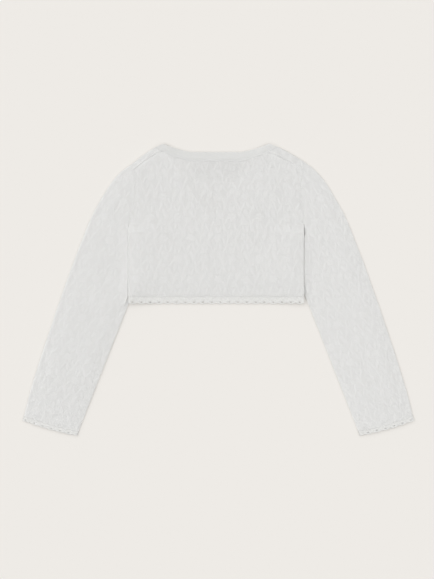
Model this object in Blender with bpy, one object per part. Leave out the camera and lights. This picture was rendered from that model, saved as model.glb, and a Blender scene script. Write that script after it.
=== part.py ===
# Cropped lace cardigan for a child of five or six, laid flat face down, with its back upwards.
#
# +X runs across the garment, +Y from the hem to the neck and +Z up. The origin lies on the surface,
# under the middle of the outline. Left is at -X and right at +X, which are the wearer's own sides,
# because the garment is seen from behind. Sizes are in mm, and a mesh is made in metres.

import math
from collections import namedtuple

import bmesh
import bpy

MM = 0.001

# The outline's middle. Every place below is on one page, and the origin is moved here from its middle.
ORIGIN_X = 0.0
ORIGIN_Y = 0.2

# Cloth
WALL = 1.2                 # one layer of lace
BINDING_WALL = 1.6         # the neck binding, which is folded double
LABEL_WALL = 1.0
SEAM_GAP = 0.3             # between two pieces that are sewn together
ARMHOLE_GAP = 0.5          # the same along the curved armhole, whose flat facets eat into it
LAYER_GAP = 1.0            # air between the back and the fronts, away from the seams

# Body. The body lies a little to the left of the middle between the two cuffs.
BODY_MIDDLE = -3.3
HALF_CHEST = 132.0         # from the body's middle to a side seam
HEM_Y = -21.0              # lowest point of the hem edging
HEM_SEAM_Y = -10.0         # where the edging is sewn on
UNDERARM_Y = 101.0
SHOULDER_TIP_X = 128.5     # from the origin, where shoulder and sleeve meet
SHOULDER_TIP_Y = 190.9
SHOULDER_TILT = 1.2        # as laid, the right tip is this much higher and the left one lower
ARMHOLE_BOW = 7.0          # how far the armhole curves into the body

# Neck
HALF_NECK = 79.5           # from the body's middle to the highest point of the shoulder
NECK_POINT_Y = 219.3
NECK_FLAT_Y = 206.9        # the straight middle stretch of the back neck
NECK_FLAT_HALF = 36.0
NECK_CURVE = 1.4           # how late the back neck turns up to the shoulder
BAND = 13.0                # width of the neck binding and of the front bands
SHOULDER_CURVE = 1.28
V_POINT_Y = 102.0          # where the two fronts meet
V_CURVE = 0.85
V_SEAM_Y = 96.0            # the same corner on the seam of the bands
FRONT_MEET = -4.0          # the fronts meet this far from the body's middle

# Sleeve, tucked a little under the body between underarm and hem
TUCK_TOP_Y = 82.0
TUCK_END_Y = -10.0
TUCK_CURVE = 2.4
SLEEVE_CLEARANCE = 1.0     # beside the side seam, above the tuck
ARMHOLE_CLEARANCE = 0.5    # the same at the underarm corner
INNER_FOLD_X = 137.7       # a point on the straight inner fold of the sleeve
INNER_FOLD_Y = -28.8
INNER_FOLD_SLOPE = 0.392   # out, for each mm down
CUFF_EDGING = 7.0
CUFF_BOW = 2.2             # how far the cuff curves out between its two folds

# The body's side lies on the tucked sleeve
LIFT = 3.9
LIFT_CLIMB_X = 60.0        # the ramp, across
LIFT_START = 64.0          # where it starts, inside the sleeve's fold
LIFT_CLIMB_Y = 17.0        # the ramp, down from the underarm
SEAM_ROLL = 12.0           # the back rolls down to its side and shoulder seams over this width
V_SAG = 0.9                # the back sinks by this much inside the V, where no front is under it
V_SAG_WIDTH = 18.0

# Scalloped edging
HEM_SCALLOPS = 20
CUFF_SCALLOPS = 13         # round the whole cuff
SCALLOP_NOTCH = 3.0
CUFF_NOTCH = 2.4
SCALLOP_ROUND = 0.65       # under 1 makes each scallop fuller
STEPS_PER_SCALLOP = 6

# Label inside the back neck
LABEL_WIDTH = 66.0
LABEL_HEIGHT = 22.0
LABEL_TOP_Y = 192.0
LABEL_MIDDLE = -3.3

# How finely the panels are divided. A column is a share of the half chest.
NECK_COLUMNS = (0.0, 0.085, 0.17, 0.25, 0.33, 0.41, 0.49, 0.56, 0.63, 0.70)
SIDE_COLUMNS = (0.76, 0.81, 0.86, 0.90, 0.935, 0.97, 1.0)
COLUMNS = NECK_COLUMNS + SIDE_COLUMNS
COLUMN_ROOM = 0.04         # least share between a band's edge and the next column
ROWS_TO_RAMP = 8
ROWS_TO_CORNER = 4
ROWS_TO_UNDERARM = 2
ROWS_TO_SHOULDER = 11
BAND_STEPS = (0.0, 0.5, 1.0)
EDGING_STEPS = (0.0, 0.45, 1.0)
SLEEVE_RINGS = 26
STEPS_UNDER = 7            # round a sleeve: along its underside, each fold, and its top
STEPS_FOLD = 3
STEPS_TOP = 12
ROWS_TO_STRAIGHT = 3.0     # table rows until a sleeve's rings lose the armhole's curve

SleeveSection = namedtuple("SleeveSection", "outer_x outer_y inner_y height")
SLEEVE_SECTIONS = (
    SleeveSection(SHOULDER_TIP_X, SHOULDER_TIP_Y, UNDERARM_Y, 3.4),
    SleeveSection(142.0, 181.5, 95.0, 3.4),
    SleeveSection(158.5, 164.5, 88.0, 3.4),
    SleeveSection(175.0, 138.5, 76.0, 3.4),
    SleeveSection(190.5, 110.0, 60.0, 3.4),
    SleeveSection(204.5, 76.0, 38.0, 3.4),
    SleeveSection(217.0, 44.0, 13.0, 3.4),
    SleeveSection(240.3, -21.3, -52.0, 3.6),
    SleeveSection(262.5, -87.3, -114.0, 4.0),
    SleeveSection(281.5, -148.0, -172.0, 4.2),
    SleeveSection(292.2, -189.4, -212.5, 4.0),
)

# The largest soft folds of the upper layer: middle, length, width, height and direction
Fold = namedtuple("Fold", "x y length width height degrees")
CLOTH_FOLDS = (
    Fold(112.0, 150.0, 90.0, 34.0, 0.5, 76.0),
    Fold(-116.0, 146.0, 80.0, 32.0, 0.5, 102.0),
    Fold(150.0, 96.0, 80.0, 34.0, 0.5, 82.0),
    Fold(-156.0, 84.0, 84.0, 34.0, 0.5, 100.0),
    Fold(-184.0, 30.0, 90.0, 34.0, 0.4, 66.0),
    Fold(190.0, 24.0, 84.0, 34.0, 0.4, 112.0),
    Fold(232.0, -104.0, 100.0, 36.0, 0.5, 104.0),
    Fold(-236.0, -118.0, 90.0, 36.0, 0.4, 70.0),
    Fold(-66.0, 64.0, 110.0, 40.0, 0.4, 128.0),
    Fold(58.0, 34.0, 100.0, 40.0, 0.3, 40.0),
)

# Colour, roughness
CLOTH_LOOK = ((0.80, 0.80, 0.78), 0.85)
BINDING_LOOK = ((0.82, 0.82, 0.80), 0.8)
EDGING_LOOK = ((0.84, 0.84, 0.82), 0.8)
LABEL_LOOK = ((0.70, 0.70, 0.69), 0.6)


def mix(start, end, share):
    return start + (end - start) * share


def clamp(value):
    return min(max(value, 0.0), 1.0)


def ease(value):
    """A soft step from 0 to 1."""
    share = clamp(value)
    return share * share * (3.0 - 2.0 * share)


def read_sections(place):
    """A sleeve section between the table's rows, on a smooth curve through them."""
    last = len(SLEEVE_SECTIONS) - 1
    row = min(int(place), last - 1)
    part = place - row
    before, start, end, after = (SLEEVE_SECTIONS[min(max(row + step, 0), last)] for step in (-1, 0, 1, 2))
    values = []
    for a, b, c, d in zip(before, start, end, after):
        bend = 2.0 * a - 5.0 * b + 4.0 * c - d
        twist = 3.0 * (b - c) + d - a
        values.append(b + 0.5 * part * (c - a + part * (bend + part * twist)))
    return SleeveSection(*values)


# Outlines. side is -1 on the left and 1 on the right.

def side_seam_x(side):
    return BODY_MIDDLE + side * HALF_CHEST


def shoulder_tip_y(side):
    return SHOULDER_TIP_Y + side * SHOULDER_TILT


def armhole_bulge(share):
    """Shape of the armhole's curve between underarm and shoulder tip, straight at both ends."""
    return math.sin(math.pi * share) ** 2


def armhole_x(side, y):
    """The armhole seam, seen from above."""
    share = clamp((y - UNDERARM_Y) / (shoulder_tip_y(side) - UNDERARM_Y))
    straight = mix(side_seam_x(side), side * SHOULDER_TIP_X, share)
    return straight - side * ARMHOLE_BOW * armhole_bulge(share)


def body_edge_x(side, y):
    """The outer edge of a body panel: side seam, then armhole."""
    if y <= UNDERARM_Y:
        return side_seam_x(side)
    return armhole_x(side, y) - side * ARMHOLE_GAP


def shoulder_y(side, x):
    """The shoulder fold, from the neck point down to the tip."""
    neck_x = BODY_MIDDLE + side * HALF_NECK
    share = clamp((x - neck_x) / (side * SHOULDER_TIP_X - neck_x))
    return mix(NECK_POINT_Y, shoulder_tip_y(side), share ** SHOULDER_CURVE)


def band_corner(side):
    """Where the inner edge of the bands meets the shoulder fold."""
    x = BODY_MIDDLE + side * (HALF_NECK + BAND)
    return x, shoulder_y(side, x)


def neck_edge_y(share):
    """Back neck edge. share runs from -1 at the left neck point to 1 at the right one."""
    turned = clamp((abs(share) * HALF_NECK - NECK_FLAT_HALF) / (HALF_NECK - NECK_FLAT_HALF))
    return mix(NECK_FLAT_Y, NECK_POINT_Y, turned ** NECK_CURVE)


def neck_seam_y(x):
    """Seam between the back and its neck binding."""
    side = 1 if x > BODY_MIDDLE else -1
    corner_x, corner_y = band_corner(side)
    reach = abs(corner_x - BODY_MIDDLE)
    turned = clamp((abs(x - BODY_MIDDLE) - NECK_FLAT_HALF) / (reach - NECK_FLAT_HALF))
    return mix(NECK_FLAT_Y - BAND, corner_y, turned ** NECK_CURVE)


def front_edge_x(side, y):
    """Free edge of a front: centre front, then the V up to the neck point."""
    meet = BODY_MIDDLE + FRONT_MEET + side * SEAM_GAP
    rise = clamp((y - V_POINT_Y) / (NECK_POINT_Y - V_POINT_Y))
    return mix(meet, BODY_MIDDLE + side * HALF_NECK, rise ** V_CURVE)


def band_seam_x(side, y):
    """Seam between a front and its band."""
    corner_x, corner_y = band_corner(side)
    rise = clamp((y - V_SEAM_Y) / (corner_y - V_SEAM_Y))
    return mix(BODY_MIDDLE + FRONT_MEET + side * (SEAM_GAP + BAND), corner_x, rise ** V_CURVE)


def inner_fold_x(side, y):
    """The sleeve's inner fold: beside the side seam, tucked under the body, then straight to the cuff."""
    beside = side_seam_x(side) + side * SLEEVE_CLEARANCE
    if y >= TUCK_TOP_Y:
        return beside
    straight = side * (INNER_FOLD_X + INNER_FOLD_SLOPE * (INNER_FOLD_Y - y))
    straight_at_top = side * (INNER_FOLD_X + INNER_FOLD_SLOPE * (INNER_FOLD_Y - TUCK_TOP_Y))
    held = clamp((y - TUCK_END_Y) / (TUCK_TOP_Y - TUCK_END_Y)) ** TUCK_CURVE
    return straight + (beside - straight_at_top) * held


# Heights above the surface

def front_height(x, y):
    """Underside of the fronts: on the surface, and over the tucked sleeve at the sides."""
    side = 1 if x > BODY_MIDDLE else -1
    inside_fold = side * (x - inner_fold_x(side, y))
    across = ease((inside_fold + LIFT_START) / LIFT_CLIMB_X)
    down = ease((UNDERARM_Y - y) / LIFT_CLIMB_Y)
    return LIFT * across * down


def seam_distance(x, y):
    """How far a point of the back is from its side and shoulder seams."""
    side = 1 if x > BODY_MIDDLE else -1
    to_side = abs(side_seam_x(side) - x) + 2.0 * max(y - UNDERARM_Y, 0.0)
    neck_x = BODY_MIDDLE + side * HALF_NECK
    to_shoulder = shoulder_y(side, x) - y + max(side * (neck_x - x), 0.0)
    return max(min(to_side, to_shoulder), 0.0)


def back_height(x, y):
    """Underside of the back: over the fronts, down to them at the seams, lower inside the V."""
    side = 1 if x > BODY_MIDDLE else -1
    gap = mix(SEAM_GAP, LAYER_GAP, ease(seam_distance(x, y) / SEAM_ROLL))
    inside_v = side * (front_edge_x(side, y) - x) if y > V_POINT_Y else 0.0
    sag = V_SAG * ease(inside_v / V_SAG_WIDTH)
    return front_height(x, y) + WALL + gap + fold_height(x, y) - sag


def fold_height(x, y):
    """Rise of the upper layer on its soft folds."""
    rise = 0.0
    for fold in CLOTH_FOLDS:
        angle = math.radians(fold.degrees)
        along = (x - fold.x) * math.cos(angle) + (y - fold.y) * math.sin(angle)
        across = (y - fold.y) * math.cos(angle) - (x - fold.x) * math.sin(angle)
        tapered = ease(1.0 - abs(2.0 * along / fold.length))
        rise += fold.height * tapered * ease(1.0 - abs(2.0 * across / fold.width))
    return rise


# Mesh makers

def look(name, colour, roughness):
    material = bpy.data.materials.new(name)
    material.use_nodes = True
    shader = material.node_tree.nodes["Principled BSDF"]
    shader.inputs["Base Color"].default_value = (*colour, 1.0)
    shader.inputs["Roughness"].default_value = roughness
    shader.inputs["Metallic"].default_value = 0.0
    return material


def add_piece(name, points, quads, finish):
    """A closed body from points in mm and four-sided faces, its faces pointing outwards."""
    shape = bmesh.new()
    corners = [shape.verts.new(((x - ORIGIN_X) * MM, (y - ORIGIN_Y) * MM, z * MM)) for x, y, z in points]
    for quad in quads:
        shape.faces.new([corners[index] for index in quad])
    bmesh.ops.triangulate(shape, faces=shape.faces, quad_method="FIXED")
    bmesh.ops.recalc_face_normals(shape, faces=shape.faces)
    mesh = bpy.data.meshes.new(name)
    shape.to_mesh(mesh)
    shape.free()
    mesh.shade_smooth()
    mesh.set_sharp_from_angle(angle=math.radians(35.0))
    colour, roughness = finish
    mesh.materials.append(look(name + "_cloth", colour, roughness))
    piece = bpy.data.objects.new(name, mesh)
    bpy.context.scene.collection.objects.link(piece)
    return piece


def add_panel(name, rows, wall, finish):
    """A cloth wall over a grid of points on its underside. Each row has the same number of points."""
    count = len(rows[0])
    under = [point for row in rows for point in row]
    top = [(x, y, z + wall) for x, y, z in under]
    shift = len(under)
    quads = []
    for row in range(len(rows) - 1):
        for column in range(count - 1):
            a = row * count + column
            b, c, d = a + 1, a + count + 1, a + count
            quads.append((a, d, c, b))
            quads.append((a + shift, b + shift, c + shift, d + shift))
    right_edge = [row * count + count - 1 for row in range(len(rows))]
    left_edge = [row * count for row in range(len(rows))]
    first_row = list(range(count))
    last_row = [shift - count + column for column in range(count)]
    for edge in (first_row, right_edge, last_row[::-1], left_edge[::-1]):
        for a, b in zip(edge, edge[1:]):
            quads.append((a, b, b + shift, a + shift))
    return add_piece(name, under + top, quads, finish)


def add_tube(name, outer_rings, inner_rings, finish):
    """A cloth tube, open at both ends, from matching rings on its outside and its inside."""
    count = len(outer_rings[0])
    outer = [point for ring in outer_rings for point in ring]
    inner = [point for ring in inner_rings for point in ring]
    shift = len(outer)
    last = len(outer_rings) - 1
    quads = []
    for ring in range(last):
        for step in range(count):
            a = ring * count + step
            b = ring * count + (step + 1) % count
            c, d = b + count, a + count
            quads.append((a, b, c, d))
            quads.append((a + shift, d + shift, c + shift, b + shift))
    for start in (0, last * count):
        for step in range(count):
            a = start + step
            b = start + (step + 1) % count
            quads.append((a, a + shift, b + shift, b))
    return add_piece(name, outer + inner, quads, finish)


# Body panels

def spread(start, end, count):
    """Even steps from start to just before end."""
    return [mix(start, end, step / count) for step in range(count)]


def body_levels():
    """The panel rows that both layers share, from the hem seam up to the underarm."""
    ramp_end = UNDERARM_Y - LIFT_CLIMB_Y
    levels = spread(HEM_SEAM_Y + SEAM_GAP / 2.0, ramp_end, ROWS_TO_RAMP)
    levels += spread(ramp_end, V_SEAM_Y, ROWS_TO_CORNER)
    return levels + spread(V_SEAM_Y, UNDERARM_Y, ROWS_TO_UNDERARM) + [UNDERARM_Y]


def top_column_x(side, share):
    """Where a column ends: evenly along the neck seam, then evenly along the shoulder."""
    corner_x = band_corner(side)[0]
    neck_share = NECK_COLUMNS[-1]
    if share <= neck_share:
        return mix(BODY_MIDDLE, corner_x, share / neck_share)
    tip_x = body_edge_x(side, shoulder_tip_y(side))
    return mix(corner_x, tip_x, (share - neck_share) / (1.0 - neck_share))


def both_sides(shares):
    """(side, share) pairs from the left edge to the right one."""
    return [(-1, share) for share in shares[:0:-1]] + [(1, share) for share in shares]


def back_rows():
    columns = both_sides(COLUMNS)
    rows = [[(BODY_MIDDLE + side * share * HALF_CHEST, y) for side, share in columns] for y in body_levels()]
    for row in range(1, ROWS_TO_SHOULDER + 1):
        climb = row / ROWS_TO_SHOULDER
        points = []
        for side, share in columns:
            top_x = top_column_x(side, share)
            top_y = shoulder_y(side, top_x) if share > NECK_COLUMNS[-1] else neck_seam_y(top_x) - SEAM_GAP
            tip_x = body_edge_x(side, shoulder_tip_y(side))
            y = mix(UNDERARM_Y, top_y, climb)
            top_share = (top_x - BODY_MIDDLE) / (tip_x - BODY_MIDDLE)
            points.append((mix(BODY_MIDDLE, body_edge_x(side, y), mix(share, top_share, climb)), y))
        rows.append(points)
    return rows


def front_columns(side):
    """Shares from a front's band seam to its side seam, on the back's own columns."""
    band_share = abs(band_seam_x(side, HEM_SEAM_Y) + side * SEAM_GAP - BODY_MIDDLE) / HALF_CHEST
    kept = [share for share in COLUMNS if share > band_share + COLUMN_ROOM]
    return [0.0] + [(share - band_share) / (1.0 - band_share) for share in kept]


def band_levels(side):
    """Rows of a front and its band along the seam between them, from the hem up to the shoulder."""
    corner_y = band_corner(side)[1]
    return body_levels() + spread(UNDERARM_Y, corner_y, ROWS_TO_SHOULDER)[1:] + [corner_y]


def shoulder_bulge(side, share):
    """How far the shoulder fold rises over a straight line between a front's two top corners."""
    corner_x, corner_y = band_corner(side)
    x = mix(corner_x, body_edge_x(side, shoulder_tip_y(side)), share)
    return shoulder_y(side, x) - mix(corner_y, shoulder_tip_y(side), share)


def front_rows(side):
    shares = front_columns(side)
    corner_y = band_corner(side)[1]
    rows = []
    for band_y in band_levels(side):
        climb = clamp((band_y - UNDERARM_Y) / (corner_y - UNDERARM_Y))
        edge_y = min(band_y, UNDERARM_Y) + (shoulder_tip_y(side) - UNDERARM_Y) * climb
        start = band_seam_x(side, band_y) + side * SEAM_GAP
        end = body_edge_x(side, edge_y)
        points = []
        for share in shares:
            y = mix(band_y, edge_y, share) + shoulder_bulge(side, share) * climb ** 2
            points.append((mix(start, end, share), y))
        rows.append(points)
    return rows


def lay(rows, height):
    """Gives the points of a grid their height above the surface."""
    return [[(x, y, height(x, y)) for x, y in row] for row in rows]


# Bands and edgings

def neck_binding_rows():
    """From the neck edge to the seam, on the columns of the back."""
    neck_share = NECK_COLUMNS[-1]
    rows = []
    for across in BAND_STEPS:
        points = []
        for side, share in both_sides(NECK_COLUMNS):
            seam_x = top_column_x(side, share)
            edge_share = side * share / neck_share
            x = mix(BODY_MIDDLE + edge_share * HALF_NECK, seam_x, across)
            points.append((x, mix(neck_edge_y(edge_share), neck_seam_y(seam_x), across)))
        rows.append(points)
    return rows


def front_band_rows(side):
    """From the free edge to the seam, up the centre front and along the V to the shoulder."""
    bottom = HEM_SEAM_Y + SEAM_GAP / 2.0
    corner_y = band_corner(side)[1]
    rows = []
    for across in BAND_STEPS:
        points = []
        for seam_y in band_levels(side):
            if seam_y <= V_SEAM_Y:
                free_y = mix(bottom, V_POINT_Y, (seam_y - bottom) / (V_SEAM_Y - bottom))
            else:
                free_y = mix(V_POINT_Y, NECK_POINT_Y, (seam_y - V_SEAM_Y) / (corner_y - V_SEAM_Y))
            x = mix(front_edge_x(side, free_y), band_seam_x(side, seam_y), across)
            points.append((x, mix(free_y, seam_y, across)))
        rows.append(points)
    return rows


def scallop_notch(turns, depth):
    """How far the free edge draws back at a place along it, counted in scallops."""
    return depth * (1.0 - abs(math.sin(math.pi * turns)) ** SCALLOP_ROUND)


def hem_edging_rows(start, end, scallops):
    """A strip below the hem seam, with a scalloped free edge."""
    steps = scallops * STEPS_PER_SCALLOP
    rows = []
    for down in EDGING_STEPS:
        points = []
        for step in range(steps + 1):
            free_y = HEM_Y + scallop_notch(step / STEPS_PER_SCALLOP, SCALLOP_NOTCH)
            points.append((mix(start, end, step / steps), mix(HEM_SEAM_Y - SEAM_GAP / 2.0, free_y, down)))
        rows.append(points)
    return rows


# Sleeves

def loop_places(width, height, inset, steps_under, steps_top):
    """Points round a tube pressed flat: distance from its inner fold, height, and whether on top."""
    radius = height / 2.0
    run = width - height
    places = []
    for step in range(steps_under):
        places.append((radius + run * step / steps_under, inset, False))
    for step in range(STEPS_FOLD):
        angle = math.pi * (step / STEPS_FOLD - 0.5)
        reach = radius - inset
        places.append((width - radius + reach * math.cos(angle), radius + reach * math.sin(angle), False))
    for step in range(steps_top):
        places.append((width - radius - run * step / steps_top, height - inset, True))
    for step in range(STEPS_FOLD):
        angle = math.pi * (step / STEPS_FOLD + 0.5)
        reach = radius - inset
        places.append((radius + reach * math.cos(angle), radius + reach * math.sin(angle), False))
    return places


def sleeve_line(side, place):
    """A section's line from its inner fold: start, run to the outer fold, and height."""
    section = read_sections(place)
    inner_x = inner_fold_x(side, section.inner_y)
    if place == 0.0:
        inner_x = side_seam_x(side) + side * ARMHOLE_CLEARANCE
    outer_y = section.outer_y + side * SHOULDER_TILT * ease(1.0 - place / ROWS_TO_STRAIGHT)
    run = (side * section.outer_x - inner_x, outer_y - section.inner_y)
    return (inner_x, section.inner_y), run, section.height


def cuff_direction(side):
    """Which way the sleeve points at its cuff."""
    last = len(SLEEVE_SECTIONS) - 1
    middles = []
    for place in (last - 1, last):
        start, run, _ = sleeve_line(side, place)
        middles.append((start[0] + run[0] / 2.0, start[1] + run[1] / 2.0))
    down_x = middles[1][0] - middles[0][0]
    down_y = middles[1][1] - middles[0][1]
    length = math.hypot(down_x, down_y)
    return down_x / length, down_y / length


def sleeve_ring(side, place, inset):
    """One ring of a sleeve. The rings fan out from the armhole to square with the sleeve."""
    start, run, height = sleeve_line(side, place)
    width = math.hypot(*run)
    arm_bow = ARMHOLE_BOW * ease(1.0 - place / ROWS_TO_STRAIGHT)
    cuff_bow = CUFF_BOW * ease(place - len(SLEEVE_SECTIONS) + 2)
    down_x, down_y = cuff_direction(side)
    ring = []
    for reach, z, on_top in loop_places(width, height, inset, STEPS_UNDER, STEPS_TOP):
        share = reach / width
        cuff_drop = cuff_bow * 4.0 * share * (1.0 - share)
        x = start[0] + run[0] * share + cuff_drop * down_x - side * arm_bow * armhole_bulge(share)
        y = start[1] + run[1] * share + cuff_drop * down_y
        if on_top:
            z += fold_height(x, y)
        ring.append((x, y, z))
    return ring


def sleeve_rings(side, inset):
    last = len(SLEEVE_SECTIONS) - 1
    return [sleeve_ring(side, last * step / SLEEVE_RINGS, inset) for step in range(SLEEVE_RINGS + 1)]


def cuff_rings(side, inset):
    """The edging carries on from the sleeve's last section, to a scalloped free edge."""
    start, run, height = sleeve_line(side, len(SLEEVE_SECTIONS) - 1)
    width = math.hypot(*run)
    down_x, down_y = cuff_direction(side)
    half = CUFF_SCALLOPS * STEPS_PER_SCALLOP // 2 - STEPS_FOLD
    places = loop_places(width, height, inset, half, half)
    rings = []
    for down in EDGING_STEPS:
        ring = []
        for step, (reach, z, _) in enumerate(places):
            share = reach / width
            notch = scallop_notch(CUFF_SCALLOPS * step / len(places), CUFF_NOTCH)
            drop = mix(SEAM_GAP, CUFF_EDGING - notch, down) + CUFF_BOW * 4.0 * share * (1.0 - share)
            x = start[0] + run[0] * share + drop * down_x
            y = start[1] + run[1] * share + drop * down_y
            ring.append((x, y, z))
        rings.append(ring)
    return rings


def label_rows():
    """The label lies on the surface inside the V, sewn under the neck seam."""
    rows = []
    for y in (LABEL_TOP_Y - LABEL_HEIGHT, LABEL_TOP_Y):
        rows.append([(LABEL_MIDDLE + LABEL_WIDTH * (step / 4.0 - 0.5), y, 0.0) for step in range(5)])
    return rows


def build():
    for item in list(bpy.data.objects):
        bpy.data.objects.remove(item, do_unlink=True)

    add_panel("back", lay(back_rows(), back_height), WALL, CLOTH_LOOK)
    add_panel("neck_binding", lay(neck_binding_rows(), back_height), BINDING_WALL, BINDING_LOOK)
    edging = hem_edging_rows(side_seam_x(-1), side_seam_x(1), HEM_SCALLOPS)
    add_panel("hem_edging_back", lay(edging, back_height), WALL, EDGING_LOOK)
    add_panel("neck_label", label_rows(), LABEL_WALL, LABEL_LOOK)

    for side, hand in ((-1, "left"), (1, "right")):
        add_panel("front_" + hand, lay(front_rows(side), front_height), WALL, CLOTH_LOOK)
        add_panel("front_band_" + hand, lay(front_band_rows(side), front_height), WALL, BINDING_LOOK)
        start = front_edge_x(side, HEM_Y)
        scallops = round(abs(side_seam_x(side) - start) * HEM_SCALLOPS / (2.0 * HALF_CHEST))
        edging = hem_edging_rows(start, side_seam_x(side), scallops)
        add_panel("hem_edging_" + hand, lay(edging, front_height), WALL, EDGING_LOOK)
        add_tube("sleeve_" + hand, sleeve_rings(side, 0.0), sleeve_rings(side, WALL), CLOTH_LOOK)
        add_tube("cuff_edging_" + hand, cuff_rings(side, 0.0), cuff_rings(side, WALL), EDGING_LOOK)


build()
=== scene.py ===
# Child's cropped lace cardigan, laid flat on a pale surface with its back up.
# Places are in mm on the cutting page, as in the CAD, and meshes are made in metres.
import math

import bpy
import numpy as np
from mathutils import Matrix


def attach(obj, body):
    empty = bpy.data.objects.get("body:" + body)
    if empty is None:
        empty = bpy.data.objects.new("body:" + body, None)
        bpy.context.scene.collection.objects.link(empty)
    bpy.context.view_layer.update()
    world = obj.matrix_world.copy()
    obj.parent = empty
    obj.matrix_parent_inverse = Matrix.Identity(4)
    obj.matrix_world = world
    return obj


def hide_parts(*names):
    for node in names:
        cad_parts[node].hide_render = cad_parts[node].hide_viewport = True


mm = 0.001
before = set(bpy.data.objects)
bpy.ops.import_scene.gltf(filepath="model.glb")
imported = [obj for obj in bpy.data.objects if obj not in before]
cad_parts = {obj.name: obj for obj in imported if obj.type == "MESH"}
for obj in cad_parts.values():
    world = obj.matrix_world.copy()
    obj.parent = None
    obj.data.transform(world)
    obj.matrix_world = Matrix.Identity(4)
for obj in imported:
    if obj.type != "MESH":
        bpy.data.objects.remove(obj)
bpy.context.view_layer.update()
print("frame loaded,", len(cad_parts), "nodes")

# The cut, shared by all pieces
cut = {
    "pageMiddleY": 0.2,     # the outline's middle on the page
    "middleX": -3.3,        # the body lies a little to the left
    "halfChest": 132.0,
    "hemY": -21.0,
    "hemSeamY": -10.0,
    "underarmY": 101.0,
    "tipX": 128.5,          # shoulder tip, where shoulder and sleeve meet
    "tipY": 190.9,
    "tilt": 1.2,
    "armholeBow": 7.0,
    "halfNeck": 79.5,
    "neckPointY": 219.3,
    "neckFlatY": 206.9,
    "neckFlatHalf": 36.0,
    "neckCurve": 1.4,
    "band": 13.0,
    "shoulderCurve": 1.28,
    "vPointY": 102.0,
    "vSeamY": 96.0,
    "vCurve": 0.85,
    "frontMeet": -4.0,
    "neckShare": 0.70,      # share of the half chest that runs up to the neck seam
    "wall": 1.2,
    "seamGap": 0.3,
    "armholeGap": 0.5,
    "layerGap": 1.0,
    "foldIn": 0.8,          # side and shoulder edges stop this far inside, and a fold closes them
    "edgeBlend": 6.0,       # the side's edge turns into the armhole's over this length
}

# Sleeve sections: outer x, outer y, inner y, height
sleeveTable = np.array([
    (128.5, 190.9, 101.0, 3.4),
    (142.0, 181.5, 95.0, 3.4),
    (158.5, 164.5, 88.0, 3.4),
    (175.0, 138.5, 76.0, 3.4),
    (190.5, 110.0, 60.0, 3.4),
    (204.5, 76.0, 38.0, 3.4),
    (217.0, 44.0, 13.0, 3.4),
    (240.3, -21.3, -52.0, 3.6),
    (262.5, -87.3, -114.0, 4.0),
    (281.5, -148.0, -172.0, 4.2),
    (292.2, -189.4, -212.5, 4.0),
])
lastSection = len(sleeveTable) - 1

sleeveCut = {
    "tuckTopY": 82.0,
    "tuckEndY": -10.0,
    "tuckCurve": 2.4,
    "beside": {-1: 0.5, 1: 1.0},    # under the arm its inner fold lies this far outside the body
    "foldX": 137.7,
    "foldY": -28.8,
    "foldSlope": 0.392,
    "cuffEdging": 7.0,
    "cuffSeam": 0.15,
    "cuffFlat": 0.40,       # the cuff lies lower than the sleeve by this share
    "cuffRows": 1.2,        # over this many sections
    "cuffBow": 2.2,
    "rowsToStraight": 3.0,
    "startIn": 0.5,         # at its first section the inner fold starts this much nearer to the body
    "startRows": 0.5,
}

# Soft folds: x, y, length, width, height, degrees. A negative height is a trough.
clothFolds = [
    (112.0, 150.0, 90.0, 34.0, 0.5, 76.0),
    (-116.0, 146.0, 80.0, 32.0, 0.5, 102.0),
    (150.0, 96.0, 80.0, 34.0, 0.5, 82.0),
    (-156.0, 84.0, 84.0, 34.0, 0.5, 100.0),
    (-184.0, 30.0, 90.0, 34.0, 0.4, 66.0),
    (190.0, 24.0, 84.0, 34.0, 0.4, 112.0),
    (232.0, -104.0, 100.0, 36.0, 0.5, 104.0),
    (-236.0, -118.0, 90.0, 36.0, 0.4, 70.0),
    (-66.0, 64.0, 110.0, 40.0, 0.4, 128.0),
    (58.0, 34.0, 100.0, 40.0, 0.3, 40.0),
]

# Narrow creases, as seen by the armholes
creases = [
    (-120.5, 118.0, 36.0, 5.0, -0.35, 74.7),
    (-120.0, 94.0, 20.0, 5.0, -0.2, 124.7),
    (108.0, 158.5, 32.0, 5.0, -0.3, -34.7),
    (111.0, 115.0, 18.0, 4.0, -0.3, -12.0),
    (-150.0, 128.0, 40.0, 6.0, -0.3, 62.0),
    (139.0, 118.0, 30.0, 5.0, -0.3, 112.0),
    (160.0, 70.0, 46.0, 7.0, -0.3, 118.0),
    (-168.0, 20.0, 52.0, 7.0, -0.25, 70.0),
]


def mix(start, end, share):
    return start + (end - start) * share


def ease(value):
    share = np.clip(value, 0.0, 1.0)
    return share * share * (3.0 - 2.0 * share)


def at(*axes):
    # Points from their coordinates
    return np.stack(axes, -1)


def runAlong(path):
    # How far each point of a path is from its start, along the path
    return np.concatenate([[0.0], np.cumsum(np.linalg.norm(np.diff(path, axis=0), axis=1))])


# Each pair is for the seed or the first wave, and for the step from one wave to the next
noise = {
    "waves": 4,
    "turn": (1.7, 2.399),
    "size": (0.8, 0.23),
    "phase": (5.1, 1.3),
}


def softNoise(u, v, size, seed):
    # Slow even waves that never line up, from -1 to 1
    total = 0.0
    for step in range(noise["waves"]):
        turn = seed * noise["turn"][0] + step * noise["turn"][1]
        phase = seed * noise["phase"][0]
        length = size * (noise["size"][0] + noise["size"][1] * step)
        wave = (u * math.cos(turn) + v * math.sin(turn)) * 2.0 * math.pi / length
        total = total + np.sin(wave + phase + step * noise["phase"][1])
    return total / noise["waves"]


# Outlines. side is -1 on the left, 1 on the right, or an array of them.
def sideX(side):
    return cut["middleX"] + side * cut["halfChest"]


def tipYOf(side):
    return cut["tipY"] + side * cut["tilt"]


def bulge(share):
    return np.sin(math.pi * share) ** 2


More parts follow.
